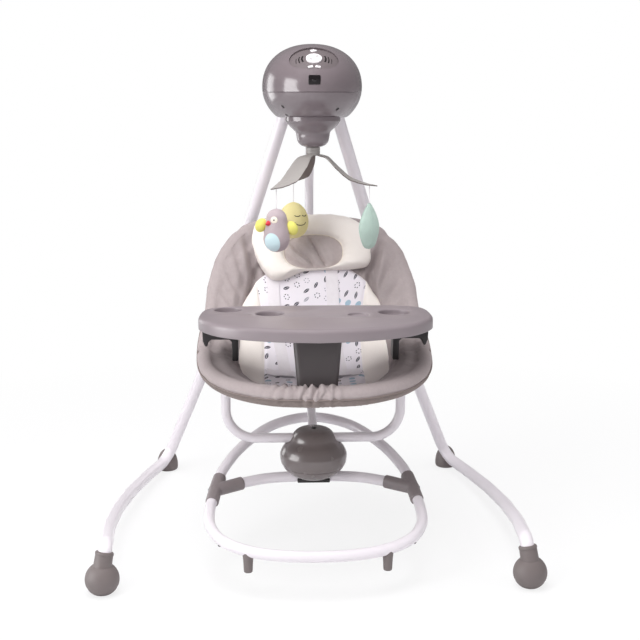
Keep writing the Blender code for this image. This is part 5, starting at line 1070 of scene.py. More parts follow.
def gatherLift(x, turn, along):
    # puckers of the elastic lip: crossing diagonal folds in the middle, gone at the sides
    share = min(abs(x - seatSpec["gatherMiddle"]) / seatSpec["gatherHalf"], 1.0)
    fade = (1 - share ** 4) * max(0.0, 1 - along / 0.18)
    if fade <= 0:
        return 0.0
    wander = (0.9 * noise.noise(Vector((x * 38, turn * 0.8, 2.0)))
              + 0.5 * noise.noise(Vector((x * 90, turn * 1.6, 5.0))))
    phase = x / seatSpec["gatherPitch"] * math.pi + wander
    one = abs(math.sin(phase + turn * 0.85))
    other = abs(math.sin(phase * 0.83 - turn * 1.05 + 1.1))
    folds = min(one ** 0.75, 0.35 + 0.65 * other)
    fine = seatSpec["gatherFine"] * math.sin(phase * 2.7 + turn * 2.1)
    return fade * (seatSpec["gatherDepth"] * (folds - 0.55) + fine)


def rearThin(along):
    # the rim is flatter behind, where it passes the stand's tubes
    return seatSpec["thinBehind"] * stepped(((0, 0), (.50, 0), (.68, 1), (.84, 1), (1, .2)), along)


def rimFrame(along, side):
    # the hoop's middle, and the ways to the front and outwards from it
    centre, normal = slingPoint(along, side), slingNormal(along, side)
    ahead = slingPoint(min(along + 0.01, 1), side) - slingPoint(max(along - 0.01, 0), side)
    if min(along, 1 - along) < 0.02:
        ahead = Vector((side * (1 if along < 0.5 else -1), 0, 0))
    outward = ahead.cross(normal).normalized()
    if outward.dot(Vector((side, (-1 if along < 0.3 else 1) * 0.6, 0.3 if along > 0.5 else 0))) < 0:
        outward = -outward
    return centre, normal, outward


def coverPoint(u, v):
    # once round the hoop with u: front face, right rim, back face, left rim; from the lip to the top with v
    s = seatSpec
    along = 0.5 - 0.5 * math.cos(math.pi * v)  # closer rows at the two ends
    along = 0.65 * v + 0.35 * along
    total = s["front"] + s["wrap"] + s["back"] + s["wrap"]
    at = u * total
    radius = stepped(s["radius"], along)
    thin = rearThin(along)
    if at <= s["front"] or (s["front"] + s["wrap"] <= at <= s["front"] + s["wrap"] + s["back"]):
        isFront = at <= s["front"]
        across = (-1 + 2 * at / s["front"]) if isFront else (1 - 2 * (at - s["front"] - s["wrap"]) / s["back"])
        spread = math.copysign(1 - (1 - abs(across)) ** 1.25, across)
        base = slingPoint(along, spread)
        normal = slingNormal(along, spread)
        gap = hoopDistance(base)
        if isFront:
            # padded most at the lip and the arms, thin at the top
            lipShare = 1 - stepped(((0, 0), (.16, 0), (.34, 1), (1, 1)), along)
            topShare = stepped(((0, 0), (.74, 0), (.93, 1), (1, 1)), along)
            armShare = 1 - stepped(((0, 0), (.48, 0), (.66, 1), (1, 1)), along)
            lift = stepped(s["bolsterProfile"], gap)
            for part, share in (("armProfile", armShare), ("topProfile", topShare), ("lipProfile", lipShare)):
                lift += (stepped(s[part], gap) - lift) * share
            # at the hoop it meets the rolled rim
            close = stepped(((0, 0), (.004, 0), (.026, 1), (.3, 1)), gap)
            lift = radius + (lift - radius) * close
            lift -= creaseDepth(base) * (1 if along < 0.5 else min(0.35 + gap / 0.030, 1))
            soft = 1 - 0.6 * min(max(gap - 0.07, 0) / 0.02, 1)
            large, small = 0.0030 * rumple(base, 0.050, 3.1), 0.0014 * rumple(base, 0.018, 7.7)
            lift += soft * (large * min(gap / 0.01, 1) + small)
            if gap < 0.050:
                lift += gatherLift(base.x, -gap / 0.02, along) * (1 - (gap / 0.050) ** 2)
            return base + normal * lift
        radius -= thin
        lift = radius + (s["backOffset"] - radius) * min(gap / 0.035, 1)
        lift += 0.0012 * rumple(base, 0.05, 5.3)
        return base - normal * lift
    # the rolled rim, half a turn round the hoop from front to back
    right = at < s["front"] + s["wrap"] + 1e-9
    share = (at - s["front"]) / s["wrap"] if right else (at - s["front"] - s["wrap"] - s["back"]) / s["wrap"]
    side = 1 if right else -1
    centre, normal, outward = rimFrame(along, side)
    turn = math.pi * (share if right else 1 - share)
    reach = radius + 0.0012 * rumple(centre + outward * 0.01 * math.cos(turn), 0.03, 9.1) * math.sin(turn)
    reach += gatherLift(centre.x, turn, along) * max(math.cos(turn / 2), 0) ** 0.6
    reach -= creaseDepth(centre) * max(math.cos(turn / 2), 0) * (1.0 if along < 0.5 else 0.35)
    reach -= thin * stepped(((0, 0), (1.30, 0), (2.0, 1), (3.2, 1)), turn)
    # the seam along the rim, where the piping is sewn in
    reach -= s["seamDip"] * math.exp(-((turn - s["seamTurn"]) / 0.10) ** 2)
    return centre + (normal * math.cos(turn) + outward * math.sin(turn)) * reach


def seatCover():
    s = seatSpec
    columns = s["front"] + 2 * s["wrap"] + s["back"]
    bm = bmesh.new()
    bmesh.ops.create_grid(bm, x_segments=columns, y_segments=s["rows"], size=0.5)
    seamAt = s["seamTurn"] / math.pi * s["wrap"]
    for face in bm.faces:
        at = (face.calc_center_median().x + 0.5) * columns
        face.material_index = int(s["front"] + seamAt < at < columns - seamAt)
    for vert in bm.verts:
        vert.co = coverPoint(vert.co.x + 0.5, vert.co.y + 0.5)
    made = pieceFrom(bm, "cover", 2e-5)
    made.data.materials.append(looks["taupeTwill"])
    made.data.materials.append(looks["liningTwill"])
    return made


def rimSeam():
    # piping sewn along the outer side of the rim, all the way round
    s = seatSpec
    turn = s["seamTurn"]
    right = []
    for i in range(121):
        along = i / 120
        centre, normal, outward = rimFrame(along, 1)
        reach = stepped(s["radius"], along) - rearThin(along) * s["pipingSink"] - s["pipingBite"]
        right.append(centre + (normal * math.cos(turn) + outward * math.sin(turn)) * reach)
    route = right + [Vector((-q.x, q.y, q.z)) for q in right[1:-1]][::-1]
    route.append(route[0])
    return tubeAlong(route, s["piping"], 10, caps=False)


cover = seatCover()
dress(rimSeam(), "seatPiping", "seat", "liningTwill", sharp=0)
dress(cover, "seatCover", "seat", "taupeTwill", ["seat_pad", "seat_lip", "seat_hoop"], sharp=0,
      keepLooks=True)
print("seat cover ready")


# printed cotton panel with cream plush wings, laid in the seat as one quilted piece

insertSpec = {
    # half widths up the seat, in metres: the whole piece, then the printed panel
    "outer": ((.235, .086), (.255, .112), (.30, .142), (.38, .162), (.46, .168), (.60, .165), (.66, .153),
              (.71, .132), (.745, .119), (.765, .107), (.80, .082), (.86, .060)),
    "print": ((.235, .078), (.255, .092), (.30, .100), (.38, .103), (.60, .103), (.66, .105), (.71, .112),
              (.745, .118), (.765, .106), (.80, .081), (.86, .059)),
    "rows": 130, "wing": 16, "panel": 70, "lift": 0.0062, "crown": 0.0042, "thick": 0.0050,
    "seamDip": 0.0030, "seamHalf": 0.0030, "wingPuff": 0.0045,
}


def linearRead(table, at):
    for (x0, y0), (x1, y1) in zip(table, table[1:]):
        if at <= x1:
            return y0 + (y1 - y0) * max(at - x0, 0) / (x1 - x0)
    return table[-1][1]


def insertPoint(along, x):
    # on top of the quilted piece; x in metres from its middle
    n = insertSpec
    edge = linearRead(n["outer"], along)
    seam = linearRead(n["print"], along)
    start, end = n["outer"][0][0], n["outer"][-1][0]
    half = curvePoint(seatSpec["hoop"], along).x
    across = max(-1, min(1, x / half))
    base = slingPoint(along, across)
    rim = min(1.0, (edge - abs(x)) / 0.010, (along - start) / 0.018, (end - along) / 0.016)
    rim = math.sqrt(max(1 - (1 - max(rim, 0)) ** 2, 0))
    under = 1 - 0.6 * min(max((along - 0.78) / 0.05, 0), 1)  # pressed flat beneath the pillow
    crown = n["crown"] * (0.4 + 0.6 * math.cos(min(abs(x) / edge, 1) * math.pi / 2))
    lift = (n["lift"] + crown) * under * rim
    lift -= n["seamDip"] * rim * math.exp(-((abs(x) - seam) / n["seamHalf"]) ** 2)  # seam between print and wing
    if abs(x) > seam:
        share = (abs(x) - seam) / max(edge - seam, 1e-6)
        lift += n["wingPuff"] * rim * math.sin(math.pi * min(share, 1)) * min((edge - seam) / 0.03, 1)
    lift += rim * (0.0016 * rumple(base, 0.060, 21.0) + 0.0007 * rumple(base, 0.020, 23.0))
    return base + slingNormal(along, across) * lift


def printInsert():
    n = insertSpec
    columns = 2 * n["wing"] + n["panel"]
    bm = bmesh.new()
    bmesh.ops.create_grid(bm, x_segments=columns, y_segments=n["rows"], size=0.5)
    uvLayer = bm.loops.layers.uv.new("cloth")
    start, end = n["outer"][0][0], n["outer"][-1][0]
    lengths = [0.0]  # cloth length up the seat's middle, for the print's scale
    for i in range(n["rows"]):
        a, b = (start + (end - start) * (i + k) / n["rows"] for k in (0, 1))
        lengths.append(lengths[-1] + (slingPoint(b, 0) - slingPoint(a, 0)).length)
    flat = {}
    for vert in bm.verts:
        column = round((vert.co.x + 0.5) * columns)
        row = round((vert.co.y + 0.5) * n["rows"])
        along = start + (end - start) * row / n["rows"]
        edge, seam = linearRead(n["outer"], along), linearRead(n["print"], along)
        if column < n["wing"]:
            x = -edge + (edge - seam) * column / n["wing"]
        elif column > n["wing"] + n["panel"]:
            x = seam + (edge - seam) * (column - n["wing"] - n["panel"]) / n["wing"]
        else:
            x = seam * (2 * (column - n["wing"]) / n["panel"] - 1)
        flat[vert.index] = (x, lengths[row], column)
        vert.co = insertPoint(along, x)
    for face in bm.faces:
        for loop in face.loops:
            loop[uvLayer].uv = flat[loop.vert.index][:2]
        middle = sum(flat[v.index][2] for v in face.verts) / 4
        face.material_index = 0 if n["wing"] < middle < n["wing"] + n["panel"] else 1
    made = objectFrom(bm, "insert")
    made.data.materials.append(looks["printedCotton"])
    made.data.materials.append(looks["creamVelboa"])
    return modify(made, "SOLIDIFY", thickness=n["thick"], offset=-1.0, use_even_offset=False)


quilt = printInsert()
if quilt.data.polygons[len(quilt.data.polygons) // 4].normal.y > 0:
    quilt.data.flip_normals()
dress(quilt, "printInsert", "seat", "printedCotton", ["print_insert"], sharp=0, keepLooks=True)


# harness: two shoulder straps and a lap belt of 26 mm webbing with buckle halves

strapSpec = {"width": 0.026, "thick": 0.0016, "clear": 0.0002, "ripple": 0.0004, "crossing": 0.0026,
             # places of a strap's middle line up the seat: along, metres from the middle
             "left": ((.420, -.060), (.50, -.064), (.60, -.072), (.70, -.080), (.775, -.083), (.83, -.080)),
             "right": ((.420, .060), (.50, .056), (.60, .050), (.70, .046), (.785, .044), (.83, .044)),
             "belt": .425, "beltHalf": .098}


def strapRibbon(route, width, name):
    # a flat band through (along, x) places, lying on the quilted piece
    line = [Vector((a, x, 0)) for a, x in route]
    count = 60
    dots = [curvePoint(line, i / count) for i in range(count + 1)]
    bm = bmesh.new()
    bmesh.ops.create_grid(bm, x_segments=8, y_segments=count, size=0.5)
    spots = [insertPoint(d.x, d.y) for d in dots]
    length = sum((b - a).length for a, b in zip(spots, spots[1:]))
    for vert in bm.verts:
        row = round((vert.co.y + 0.5) * count)
        place, aside = dots[row], vert.co.x * width
        ripple = strapSpec["ripple"] * (1 + math.sin(row * 0.33 + 2 * vert.co.x))
        lift = strapSpec["clear"] + strapSpec["thick"] + ripple
        vert.co = insertPoint(place.x, place.y + aside) + slingNormal(place.x, place.y / 0.2) * lift
    ribbon = pieceFrom(bm, name)
    modify(ribbon, "SOLIDIFY", thickness=strapSpec["thick"], offset=-1.0)
    return ribbon, length


straps = [(*strapRibbon(strapSpec[label], strapSpec["width"], label + "Strap"), label) for _, label in sides]


def beltRibbon():
    bm = bmesh.new()
    bmesh.ops.create_grid(bm, x_segments=60, y_segments=6, size=0.5)
    for vert in bm.verts:
        x = vert.co.x * 2 * strapSpec["beltHalf"]
        along = strapSpec["belt"] + vert.co.y * 0.045
        over = max(0.0, 1 - max(abs(abs(x) - 0.060) - 0.014, 0) / 0.010)  # where it crosses a shoulder strap
        lift = strapSpec["thick"] + strapSpec["clear"] + strapSpec["crossing"] * over * over * (3 - 2 * over)
        vert.co = insertPoint(along, x) + slingNormal(along, x / 0.2) * lift
    ribbon = pieceFrom(bm, "belt")
    return modify(ribbon, "SOLIDIFY", thickness=strapSpec["thick"], offset=-1.0)


belt = beltRibbon()
dress(belt, "lapBelt", "seat", "whiteWebbing", sharp=35)
for ribbon, length, label in straps:
    dress(ribbon, label + "ShoulderStrap", "seat", "whiteWebbing", sharp=35)
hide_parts("harness")
buckleAt = strapSpec["belt"]
buckleSpot = insertPoint(buckleAt, 0.0)
buckleOut = slingNormal(buckleAt, 0.0)
buckleUp = (insertPoint(buckleAt + 0.02, 0) - insertPoint(buckleAt - 0.02, 0)).normalized()
buckleRight = Vector((1, 0, 0))
if buckleRight.cross(buckleUp).dot(buckleOut) < 0:
    buckleRight = -buckleRight
buckleTurn = Matrix((buckleRight, buckleUp, buckleRight.cross(buckleUp))).transposed()
buckle = roundedBox(buckleSpot + buckleOut * 0.0145, (0.044, 0.040, 0.011), 0.0045, buckleTurn, 5)
carve(buckle, barrel(buckleSpot + buckleOut * 0.0185, buckleSpot + buckleOut * 0.03, 0.0085, segments=40))
dress(buckle, "harnessBuckle", "seat", "blackNylon", sharp=35)
catch = lathe(softened([(0, -0.002), (0.0080, -0.002), (0.0080, 0.0008), (0.0065, 0.0016), (0, 0.0020)], 2),
              buckleSpot + buckleOut * 0.0195, 40, turn=buckleTurn)
dress(catch, "harnessCatch", "seat", "blackNylon", sharp=35)
print("insert and straps ready")


# head pillow: a cream horseshoe of velboa round a gathered grey satin oval

pillowSpec = {
    "below": 0.070, "lift": 0.0014, "thick": 0.030,
    # outline seen square on to the back, right and up from the pillow's middle in metres
    "outline": [Vector((x, y, 0)) for x, y in (
        (.012, .0740), (.053, .0730), (.090, .0640), (.114, .0445), (.128, .0080), (.1305, -.0220), (.122, -.0450),
        (.0945, -.0520), (.060, -.0535), (.0205, -.0545), (-.016, -.0570), (-.040, -.0670), (-.064, -.0770),
        (-.086, -.0750), (-.105, -.0545), (-.1205, -.0220), (-.130, .0140), (-.127, .0420), (-.105, .0610),
        (-.055, .0720))],
    "oval": (0.005, -0.0130), "ovalHalf": (0.064, 0.0400), "ovalPower": 2.5,
    "spokes": 200, "ringRows": 26, "ovalRows": 22,
    # heights above the pillow's back: cream ring, then satin
    "rim": 0.0105, "seamRise": 0.0035, "seamDip": 0.0030, "seamHalf": 0.0035, "wobble": 0.0013, "pulls": 0.0008,
    "pullReach": 0.008, "dish": 0.0115, "dome": 0.0050, "ovalDip": 0.0022, "seamCord": 0.0010, "seamAt": 0.0113,
}


def pillowFrame():
    top, below = seatSpec["hoop"][-1], seatSpec["hoop"][-3]
    up = Vector((0, top.y - below.y, top.z - below.z)).normalized()
    out = Vector((0, -up.z, up.y))
    return top - up * pillowSpec["below"] + out * pillowSpec["lift"], up, out


def loopPoint(points, place):
    # closed smooth curve through the outline's points
    count = len(points)
    at = place * count
    i, t = int(at) % count, at - int(at)
    p0, p1, p2, p3 = (points[(i + k) % count] for k in (-1, 0, 1, 2))
    return (p1 * 2 + (p2 - p0) * t + (p0 * 2 - p1 * 5 + p2 * 4 - p3) * t * t
            + (p1 * 3 - p0 - p2 * 3 + p3) * t ** 3) * 0.5


def ovalPoint(angle):
    w = pillowSpec
    c, s = math.cos(angle), math.sin(angle)
    reach = (abs(c) ** w["ovalPower"] + abs(s) ** w["ovalPower"]) ** (-1 / w["ovalPower"])
    return Vector((w["oval"][0] + w["ovalHalf"][0] * reach * c, w["oval"][1] + w["ovalHalf"][1] * reach * s, 0))


def satinFolds(x, y):
    # pulls that run down and to the right across the satin, drawn together at its lower edge
    slant = (x - 0.020 + 0.42 * y) / (0.042 + max(y + 0.045, 0) * 0.55)
    wave = math.sin(slant * 4.4 + 0.9 * noise.noise(Vector((x * 26, y * 14, 3))) + 0.7)
    fine = noise.noise(Vector((slant * 4.5, y * 10, 7)))
    return 0.0105 * (abs(wave) ** 0.8 - 0.55) + 0.0045 * fine


def pillowPuff(share, gap):
    # height of the cream ring from its outer edge (0) to the seam at the oval (1)
    crest = math.sin(math.pi * min(max(share, 0), 1) ** 0.8)
    wide = min(gap / 0.040, 1.0)
    return crest ** 0.55 * (0.35 + 0.65 * wide)


def buildPillow():
    w = pillowSpec
    centre, up, out = pillowFrame()
    bm = bmesh.new()
    outline, angles = [], []
    for i in range(w["spokes"]):
        spot = loopPoint(w["outline"], i / w["spokes"])
        outline.append(spot)
        angles.append(math.atan2((spot.y - w["oval"][1]) / w["ovalHalf"][1],
                                 (spot.x - w["oval"][0]) / w["ovalHalf"][0]))
    loops = []

    def ring(points):
        loops.append([bm.verts.new(centre + Vector((q.x, 0, 0)) + up * q.y + out * q.z) for q in points])

    # back, drawn in and flat against the seat's back
    for share, depth in ((0.86, 0.0), (0.93, 0.0004), (0.975, 0.0030), (0.996, 0.0070)):
        ring([Vector((q.x * share, q.y * share, depth)) for q in outline])
    for k in range(w["ringRows"] + 1):
        share = k / w["ringRows"]
        row = []
        for spot, angle in zip(outline, angles):
            inner = ovalPoint(angle)
            place = spot.lerp(inner, share)
            gap = (spot - inner).length
            height = w["rim"] + w["seamRise"] * share + (w["thick"] - w["dish"]) * pillowPuff(share, gap)
            height -= w["seamDip"] * math.exp(-((1 - share) * gap / w["seamHalf"]) ** 2)
            height += w["wobble"] * noise.noise(place * 24) * math.sin(math.pi * share)
            # small pulls that run in from both seams
            fade = math.exp(-min(share, 1 - share) * gap / w["pullReach"])
            height += w["pulls"] * math.sin(angle * 26 + 2.2 * noise.noise(place * 20)) * fade
            row.append(Vector((place.x, place.y, height)))
        ring(row)
    for k in range(1, w["ovalRows"]):
        share = 1 - k / w["ovalRows"]
        row = []
        for angle in angles:
            inner = ovalPoint(angle)
            middle = Vector((*w["oval"], 0))
            place = middle.lerp(inner, share)
            height = w["dish"] + w["dome"] * (1 - share ** 2) ** 0.8
            height += satinFolds(place.x, place.y) * min((1 - share) / 0.25, 1)
            height -= w["ovalDip"] * math.exp(-((1 - share) / 0.05) ** 2)
            row.append(Vector((place.x, place.y, height)))
        ring(row)
    for rowIndex, (low, high) in enumerate(zip(loops, loops[1:])):
        for i in range(w["spokes"]):
            j = (i + 1) % w["spokes"]
            face = bm.faces.new((low[i], low[j], high[j], high[i]))
            face.material_index = 1 if rowIndex >= w["ringRows"] + 4 else 0
    bm.faces.new(loops[0])
    closing = bm.faces.new(loops[-1])
    closing.material_index = 1
    pillow = pieceFrom(bm, "pillow")
    pillow.data.materials.append(looks["creamVelboa"])
    pillow.data.materials.append(looks["greySatin"])
    return pillow


pillow = buildPillow()
dress(pillow, "headPillow", "seat", "creamVelboa", ["head_pillow"], sharp=0, keepLooks=True)
centre, up, out = pillowFrame()
seamRoute = [ovalPoint(2 * math.pi * i / 120) for i in range(121)]
seamRoute = [centre + Vector((q.x, 0, 0)) + up * q.y + out * pillowSpec["seamAt"] for q in seamRoute]
seam = tubeAlong(seamRoute, pillowSpec["seamCord"], 8, caps=False)
dress(seam, "pillowSeam", "seat", "creamFelt", sharp=0)
print("pillow ready")


# tray on its crotch post, held by two black brackets over the seat's sides

traySpec = {
    "top": 0.522, "bottom": 0.498, "wall": 0.003, "edge": 0.0085,
    "outline": [Vector((x, y, 0)) for x, y in (
        (0, -.4100), (.085, -.3970), (.171, -.3590), (.2175, -.2980), (.2245, -.2400), (.2130, -.1860),
        (.165, -.1620), (.080, -.1560), (0, -.1550))],
    "cups": ((-0.170, -0.200), (-0.088, -0.243), (0.153, -0.236)), "cupRadii": (0.0275, 0.0275, 0.0305),
    "cupFloor": 0.5065,
    "dish": (0.082, -0.262), "dishRadius": 0.021, "dishFloor": 0.5165,
}


def trayOutline(inset, count=72):
    right = smoothPath(traySpec["outline"], count // 2)
    outline = right + [Vector((-q.x, q.y, 0)) for q in right[1:-1]][::-1]
    made = []
    for i, point in enumerate(outline):
        tangent = (outline[(i + 1) % len(outline)] - outline[i - 1]).normalized()
        made.append(point + Vector((-tangent.y, tangent.x, 0)) * inset)
    return made


def prism(outline, low, high, topEdge=0.0, bottomEdge=0.0, segments=6):
    bm = extruded([(q.x, q.y, low) for q in outline], (0, 0, high - low))
    for level, edge in ((high, topEdge), (low, bottomEdge)):
        if edge:
            rim = [e for e in bm.edges if all(abs(q.co.z - level) < 1e-6 for q in e.verts)]
            bmesh.ops.bevel(bm, geom=rim, offset=edge, segments=segments, profile=0.5, affect="EDGES",
                            material=-1)
    return pieceFrom(bm, "prism")


def recessCutter(place, radius, floorZ, flare):
    t = traySpec["top"]
    deep = t - floorZ
    wide = radius + flare * 1.5
    shape = [(radius * 0.80, floorZ), (radius * 0.93, floorZ + deep * 0.10), (radius, floorZ + deep * 0.38),
             (radius * 1.01, t - flare), (radius + flare * 0.45, t - flare * 0.22), (wide, t + 0.0004)]
    return lathe([(0, floorZ)] + softened(shape, 2) + [(wide, t + 0.01), (0, t + 0.01)], (*place, 0), 64)


def recess(tray, place, radius, floorZ, flare, edge):
    # a well with its own wall under the tray's top, then hollowed out
    wall = barrel((*place, floorZ - 0.0025), (*place, traySpec["top"] - 0.001), radius + 0.0025, segments=64,
                  edge=edge)
    carve(tray, wall, operation="UNION")
    carve(tray, recessCutter(place, radius - 0.001, floorZ, flare))


t = traySpec
tray = prism(trayOutline(0.0), t["bottom"], t["top"], t["edge"], 0.0012)
carve(tray, prism(trayOutline(t["wall"]), t["bottom"] - 0.01, t["top"] - t["wall"], 0.006, 0.0, 4))
for place, cupRadius in zip(t["cups"], t["cupRadii"]):
    recess(tray, place, cupRadius, t["cupFloor"], 0.0030, 0.002)
recess(tray, t["dish"], t["dishRadius"], t["dishFloor"], 0.0018, 0.001)
dress(tray, "tray", "tray", "trayPolypropylene", ["tray"], sharp=32)

# a level's width, front and depth
postSpec = {"upper": (0.096, -0.352, 0.062), "lower": (0.074, -0.3635, 0.036), "bottom": 0.392, "edge": 0.010}
topLevel = t["top"] - t["wall"] - 0.0003
bm = bmesh.new()
bmesh.ops.create_cube(bm, size=1.0)
for vert in bm.verts:
    high = vert.co.z > 0
    width, front, depth = postSpec["upper" if high else "lower"]
    level = topLevel if high else postSpec["bottom"]
    vert.co = Vector((vert.co.x * width, front + depth * (vert.co.y + 0.5), level))
upright = [e for e in bm.edges if abs(e.verts[0].co.z - e.verts[1].co.z) > 0.01]
bmesh.ops.bevel(bm, geom=upright, offset=postSpec["edge"], segments=7, profile=0.5, affect="EDGES", material=-1)
post = pieceFrom(bm, "post")
cup = t["cups"][1]
carve(post, barrel((*cup, t["cupFloor"] - 0.0028), (*cup, t["top"]), t["cupRadii"][1] + 0.0028, segments=64))
dress(post, "crotchPost", "tray", "postAbs", ["crotch_post"], sharp=35)

# brackets: a thick bar under the tray, a wedge outside the seat's rim and a longer leg inside it
bracketSpec = {
    "x": 0.1845, "y": -0.232, "length": 0.044, "edge": 0.003, "top": t["bottom"] - 0.0004,
    # outwards from the bracket's middle, and height
    "profile": ((.0345, .4976), (.0335, .4700), (.0290, .4590), (.0250, .4590), (.0225, .4680), (.0170, .4725),
                (-.0170, .4725), (-.0225, .4680), (-.0230, .4300), (-.0345, .4300), (-.0345, .4976)),
}
for side, label in sides:
    k = bracketSpec
    outline = [(side * (k["x"] + x), k["y"] - k["length"] / 2, z) for x, z in k["profile"]]
    arch = pieceFrom(extruded(outline, (0, k["length"], 0)), "arch")
    modify(arch, "BEVEL", width=k["edge"], segments=4, limit_method="ANGLE", angle_limit=math.radians(25))
    dress(arch, label + "TrayBracket", "seat", "blackNylon", [label + "_tray_bracket"],
          sharp=35)
print("tray ready")


# mobile: three leaf arms on the collar, with three stuffed toys on threads

leafSpec = {
    "turn": -10.5, "thick": 0.0022, "cup": 0.16,
    # distance from the collar's middle, height, half width
    "rows": ((.0040, .8194, .0050), (.0128, .8191, .0100), (.030, .8148, .0170), (.047, .7988, .0208),
             (.0725, .7766, .0208), (.090, .7688, .0170), (.108, .7628, .0112), (.122, .7598, .0045),
             (.130, .7583, .0012)),
    "toyReach": 0.114,
}


def leafArm(angle):
    line = [Vector(row) for row in leafSpec["rows"]]
    bm = bmesh.new()
    bmesh.ops.create_grid(bm, x_segments=48, y_segments=14, size=0.5)
    turn = Matrix.Rotation(math.radians(angle), 3, "Z")
    for vert in bm.verts:
        row = curvePoint(line, vert.co.x + 0.5)
        across = vert.co.y * 2
        half = max(row.z, 0.0006)
        drop = leafSpec["cup"] * half * across * across
        rib = 0.0007 * math.exp(-(across / 0.10) ** 2) * min(half / 0.01, 1)
        vein = 0.00025 * math.sin(across * 3 + row.x * 420) * min(half / 0.012, 1)
        spot = Vector((row.x, across * half, row.y - drop - rib + vein))
        vert.co = turn @ spot + Vector((0, bowlSpec["y"], 0))
    leaf = pieceFrom(bm, "leaf")
    inwards = -1.0 if leaf.data.polygons[0].normal.z > 0 else 1.0
    return modify(leaf, "SOLIDIFY", thickness=leafSpec["thick"] * 0.9, offset=inwards)


leaves = [leafArm(leafSpec["turn"] + 120 * i) for i in range(3)]
discTop = Vector((0, bowlSpec["y"], bowlSpec["neckBottom"] - 0.0003))
disc = barrel(discTop - Vector((0, 0, 0.0031)), discTop, bowlSpec["neck"], segments=48, edge=0.0008)
carve(disc, *leaves, operation="UNION")
disc.data.materials.clear()
disc.data.materials.append(looks["leafPlastic"])
disc.data.materials.append(looks["leafUndersidePaintedShade"])
# painted shade: every downward face of the leaves takes the darker copy of the leaf plastic
for polygon in disc.data.polygons:
    polygon.material_index = int(polygon.normal.z < -0.1)
dress(disc, "leafArms", "mobile", "leafPlastic", ["leaf_arms"], sharp=40, keepLooks=True)


def toyHang(i):
    angle = math.radians(leafSpec["turn"] + 120 * i)
    reach = leafSpec["toyReach"]
    return Vector((reach * math.cos(angle), bowlSpec["y"] + reach * math.sin(angle), 0.7589))


def patchedLook(name, base, patch, centre, radii):
    # a plush with one stitched patch of another colour inside an ellipsoid, in object coordinates
    material = looks[base].copy()
    material.name = name
    tree = material.node_tree
    shader = tree.nodes["Principled BSDF"]
    coords = addNode(tree, "TexCoord")
    off = addNode(tree, "VectorMath", {0: (coords, "Object"), 1: centre}, operation="SUBTRACT")
    scaled = addNode(tree, "VectorMath", {0: (off, 0), 1: radii}, operation="DIVIDE")
    reach = addNode(tree, "VectorMath", {0: (scaled, 0)}, operation="LENGTH")
    inside = addNode(tree, "MapRange", {"Value": (reach, 1), "From Min": 0.97, "From Max": 1.03, "To Min": 1.0,
                                        "To Max": 0.0})
    old = shader.inputs["Base Color"].links[0].from_socket.node
    mix = addNode(tree, "Mix", {0: (inside, 0), 6: (old, 2), 7: linearHex(clothFinishes[patch][0])},
                  data_type="RGBA")
    tree.links.new(mix.outputs[2], shader.inputs["Base Color"])
    looks[name] = material
    return name


toySpecs = {
    # outline: share of the radius and share of the way down; stretch: across and deep; turn in degrees
    "leaf": dict(outline=((0.26, 0.07), (0.66, 0.24), (0.97, 0.44), (1.0, 0.62), (0.76, 0.82), (0.50, 0.96)),
                 top=0.724, height=0.094, radius=0.0235, stretch=(1.0, 0.46), turn=28, slot="mint_plush"),
    "egg": dict(outline=((0.36, 0.04), (0.68, 0.15), (0.90, 0.32), (1.0, 0.55), (0.90, 0.77), (0.62, 0.92),
                         (0.30, 0.99)),
                top=0.714, height=0.077, radius=0.0325, stretch=(1.0, 0.76), turn=0, slot="yellow_plush"),
    "bird": dict(outline=((0.40, 0.03), (0.70, 0.12), (0.79, 0.24), (0.85, 0.37), (0.96, 0.54), (1.0, 0.70),
                          (0.88, 0.86), (0.50, 0.97)),
                 top=0.719, height=0.085, radius=0.0262, stretch=(1.0, 0.9), turn=0, slot="taupe_plush"),
}
dentDepth = 0.0008


def toyProfile(toy):
    top, radius = toy["top"], toy["radius"]
    side = [(radius * r, top - toy["height"] * z) for r, z in toy["outline"]]
    return softened([(0.02 * radius, top)] + side + [(0.02 * radius, top - toy["height"])], 3)


def stuffed(body, place, look):
    # a stuffed toy from its outline, with soft dents
    toy = toySpecs[body]
    shape = [(0.0, toy["top"])] + toyProfile(toy) + [(0.0, toy["top"] - toy["height"])]
    turn = Matrix.Rotation(math.radians(toy["turn"]), 3, "Z")
    made = lathe(shape, (place.x, place.y, 0), 72, toy["stretch"], turn)
    for vert in made.data.vertices:
        out = Vector((vert.co.x - place.x, vert.co.y - place.y, 0))
        if out.length > 1e-5:
            vert.co += out.normalized() * dentDepth * rumple(vert.co, 0.012, 2.0)
    dress(made, body + "Toy", body, look, [body + "_toy"], sharp=0)
    thread = [Vector((place.x, place.y, place.z - (place.z - toy["top"] + 0.002) * k / 8)) for k in range(9)]
    dress(tubeAlong(thread, 0.0008, 10), body + "Thread", body, "clearThread", sharp=0)


def radiiAt(body, z):
    # radii of a stuffed toy at a height, for laying eyes and stitches on it
    shape, stretch = toyProfile(toySpecs[body]), toySpecs[body]["stretch"]
    for (r0, z0), (r1, z1) in zip(shape, shape[1:]):
        if z1 <= z <= z0:
            reach = r0 + (r1 - r0) * (z0 - z) / max(z0 - z1, 1e-9)
            return reach * stretch[0], reach * stretch[1]
    return 0.0, 0.0


def onToy(body, place, angle, height, lift=0.0004):
    a = math.radians(angle)
    rx, ry = radiiAt(body, height)
    return Vector((place.x + (rx + lift) * math.cos(a), place.y + (ry + lift) * math.sin(a), height))


def bead(centre, size, turn=None, segments=24):
    bm = bmesh.new()
    bmesh.ops.create_uvsphere(bm, u_segments=segments, v_segments=segments // 2, radius=1.0)
    bmesh.ops.scale(bm, vec=size, verts=bm.verts)
    if turn is not None:
        bmesh.ops.rotate(bm, cent=(0, 0, 0), matrix=turn, verts=bm.verts)
    bmesh.ops.translate(bm, vec=centre, verts=bm.verts)
    return pieceFrom(bm, "bead")


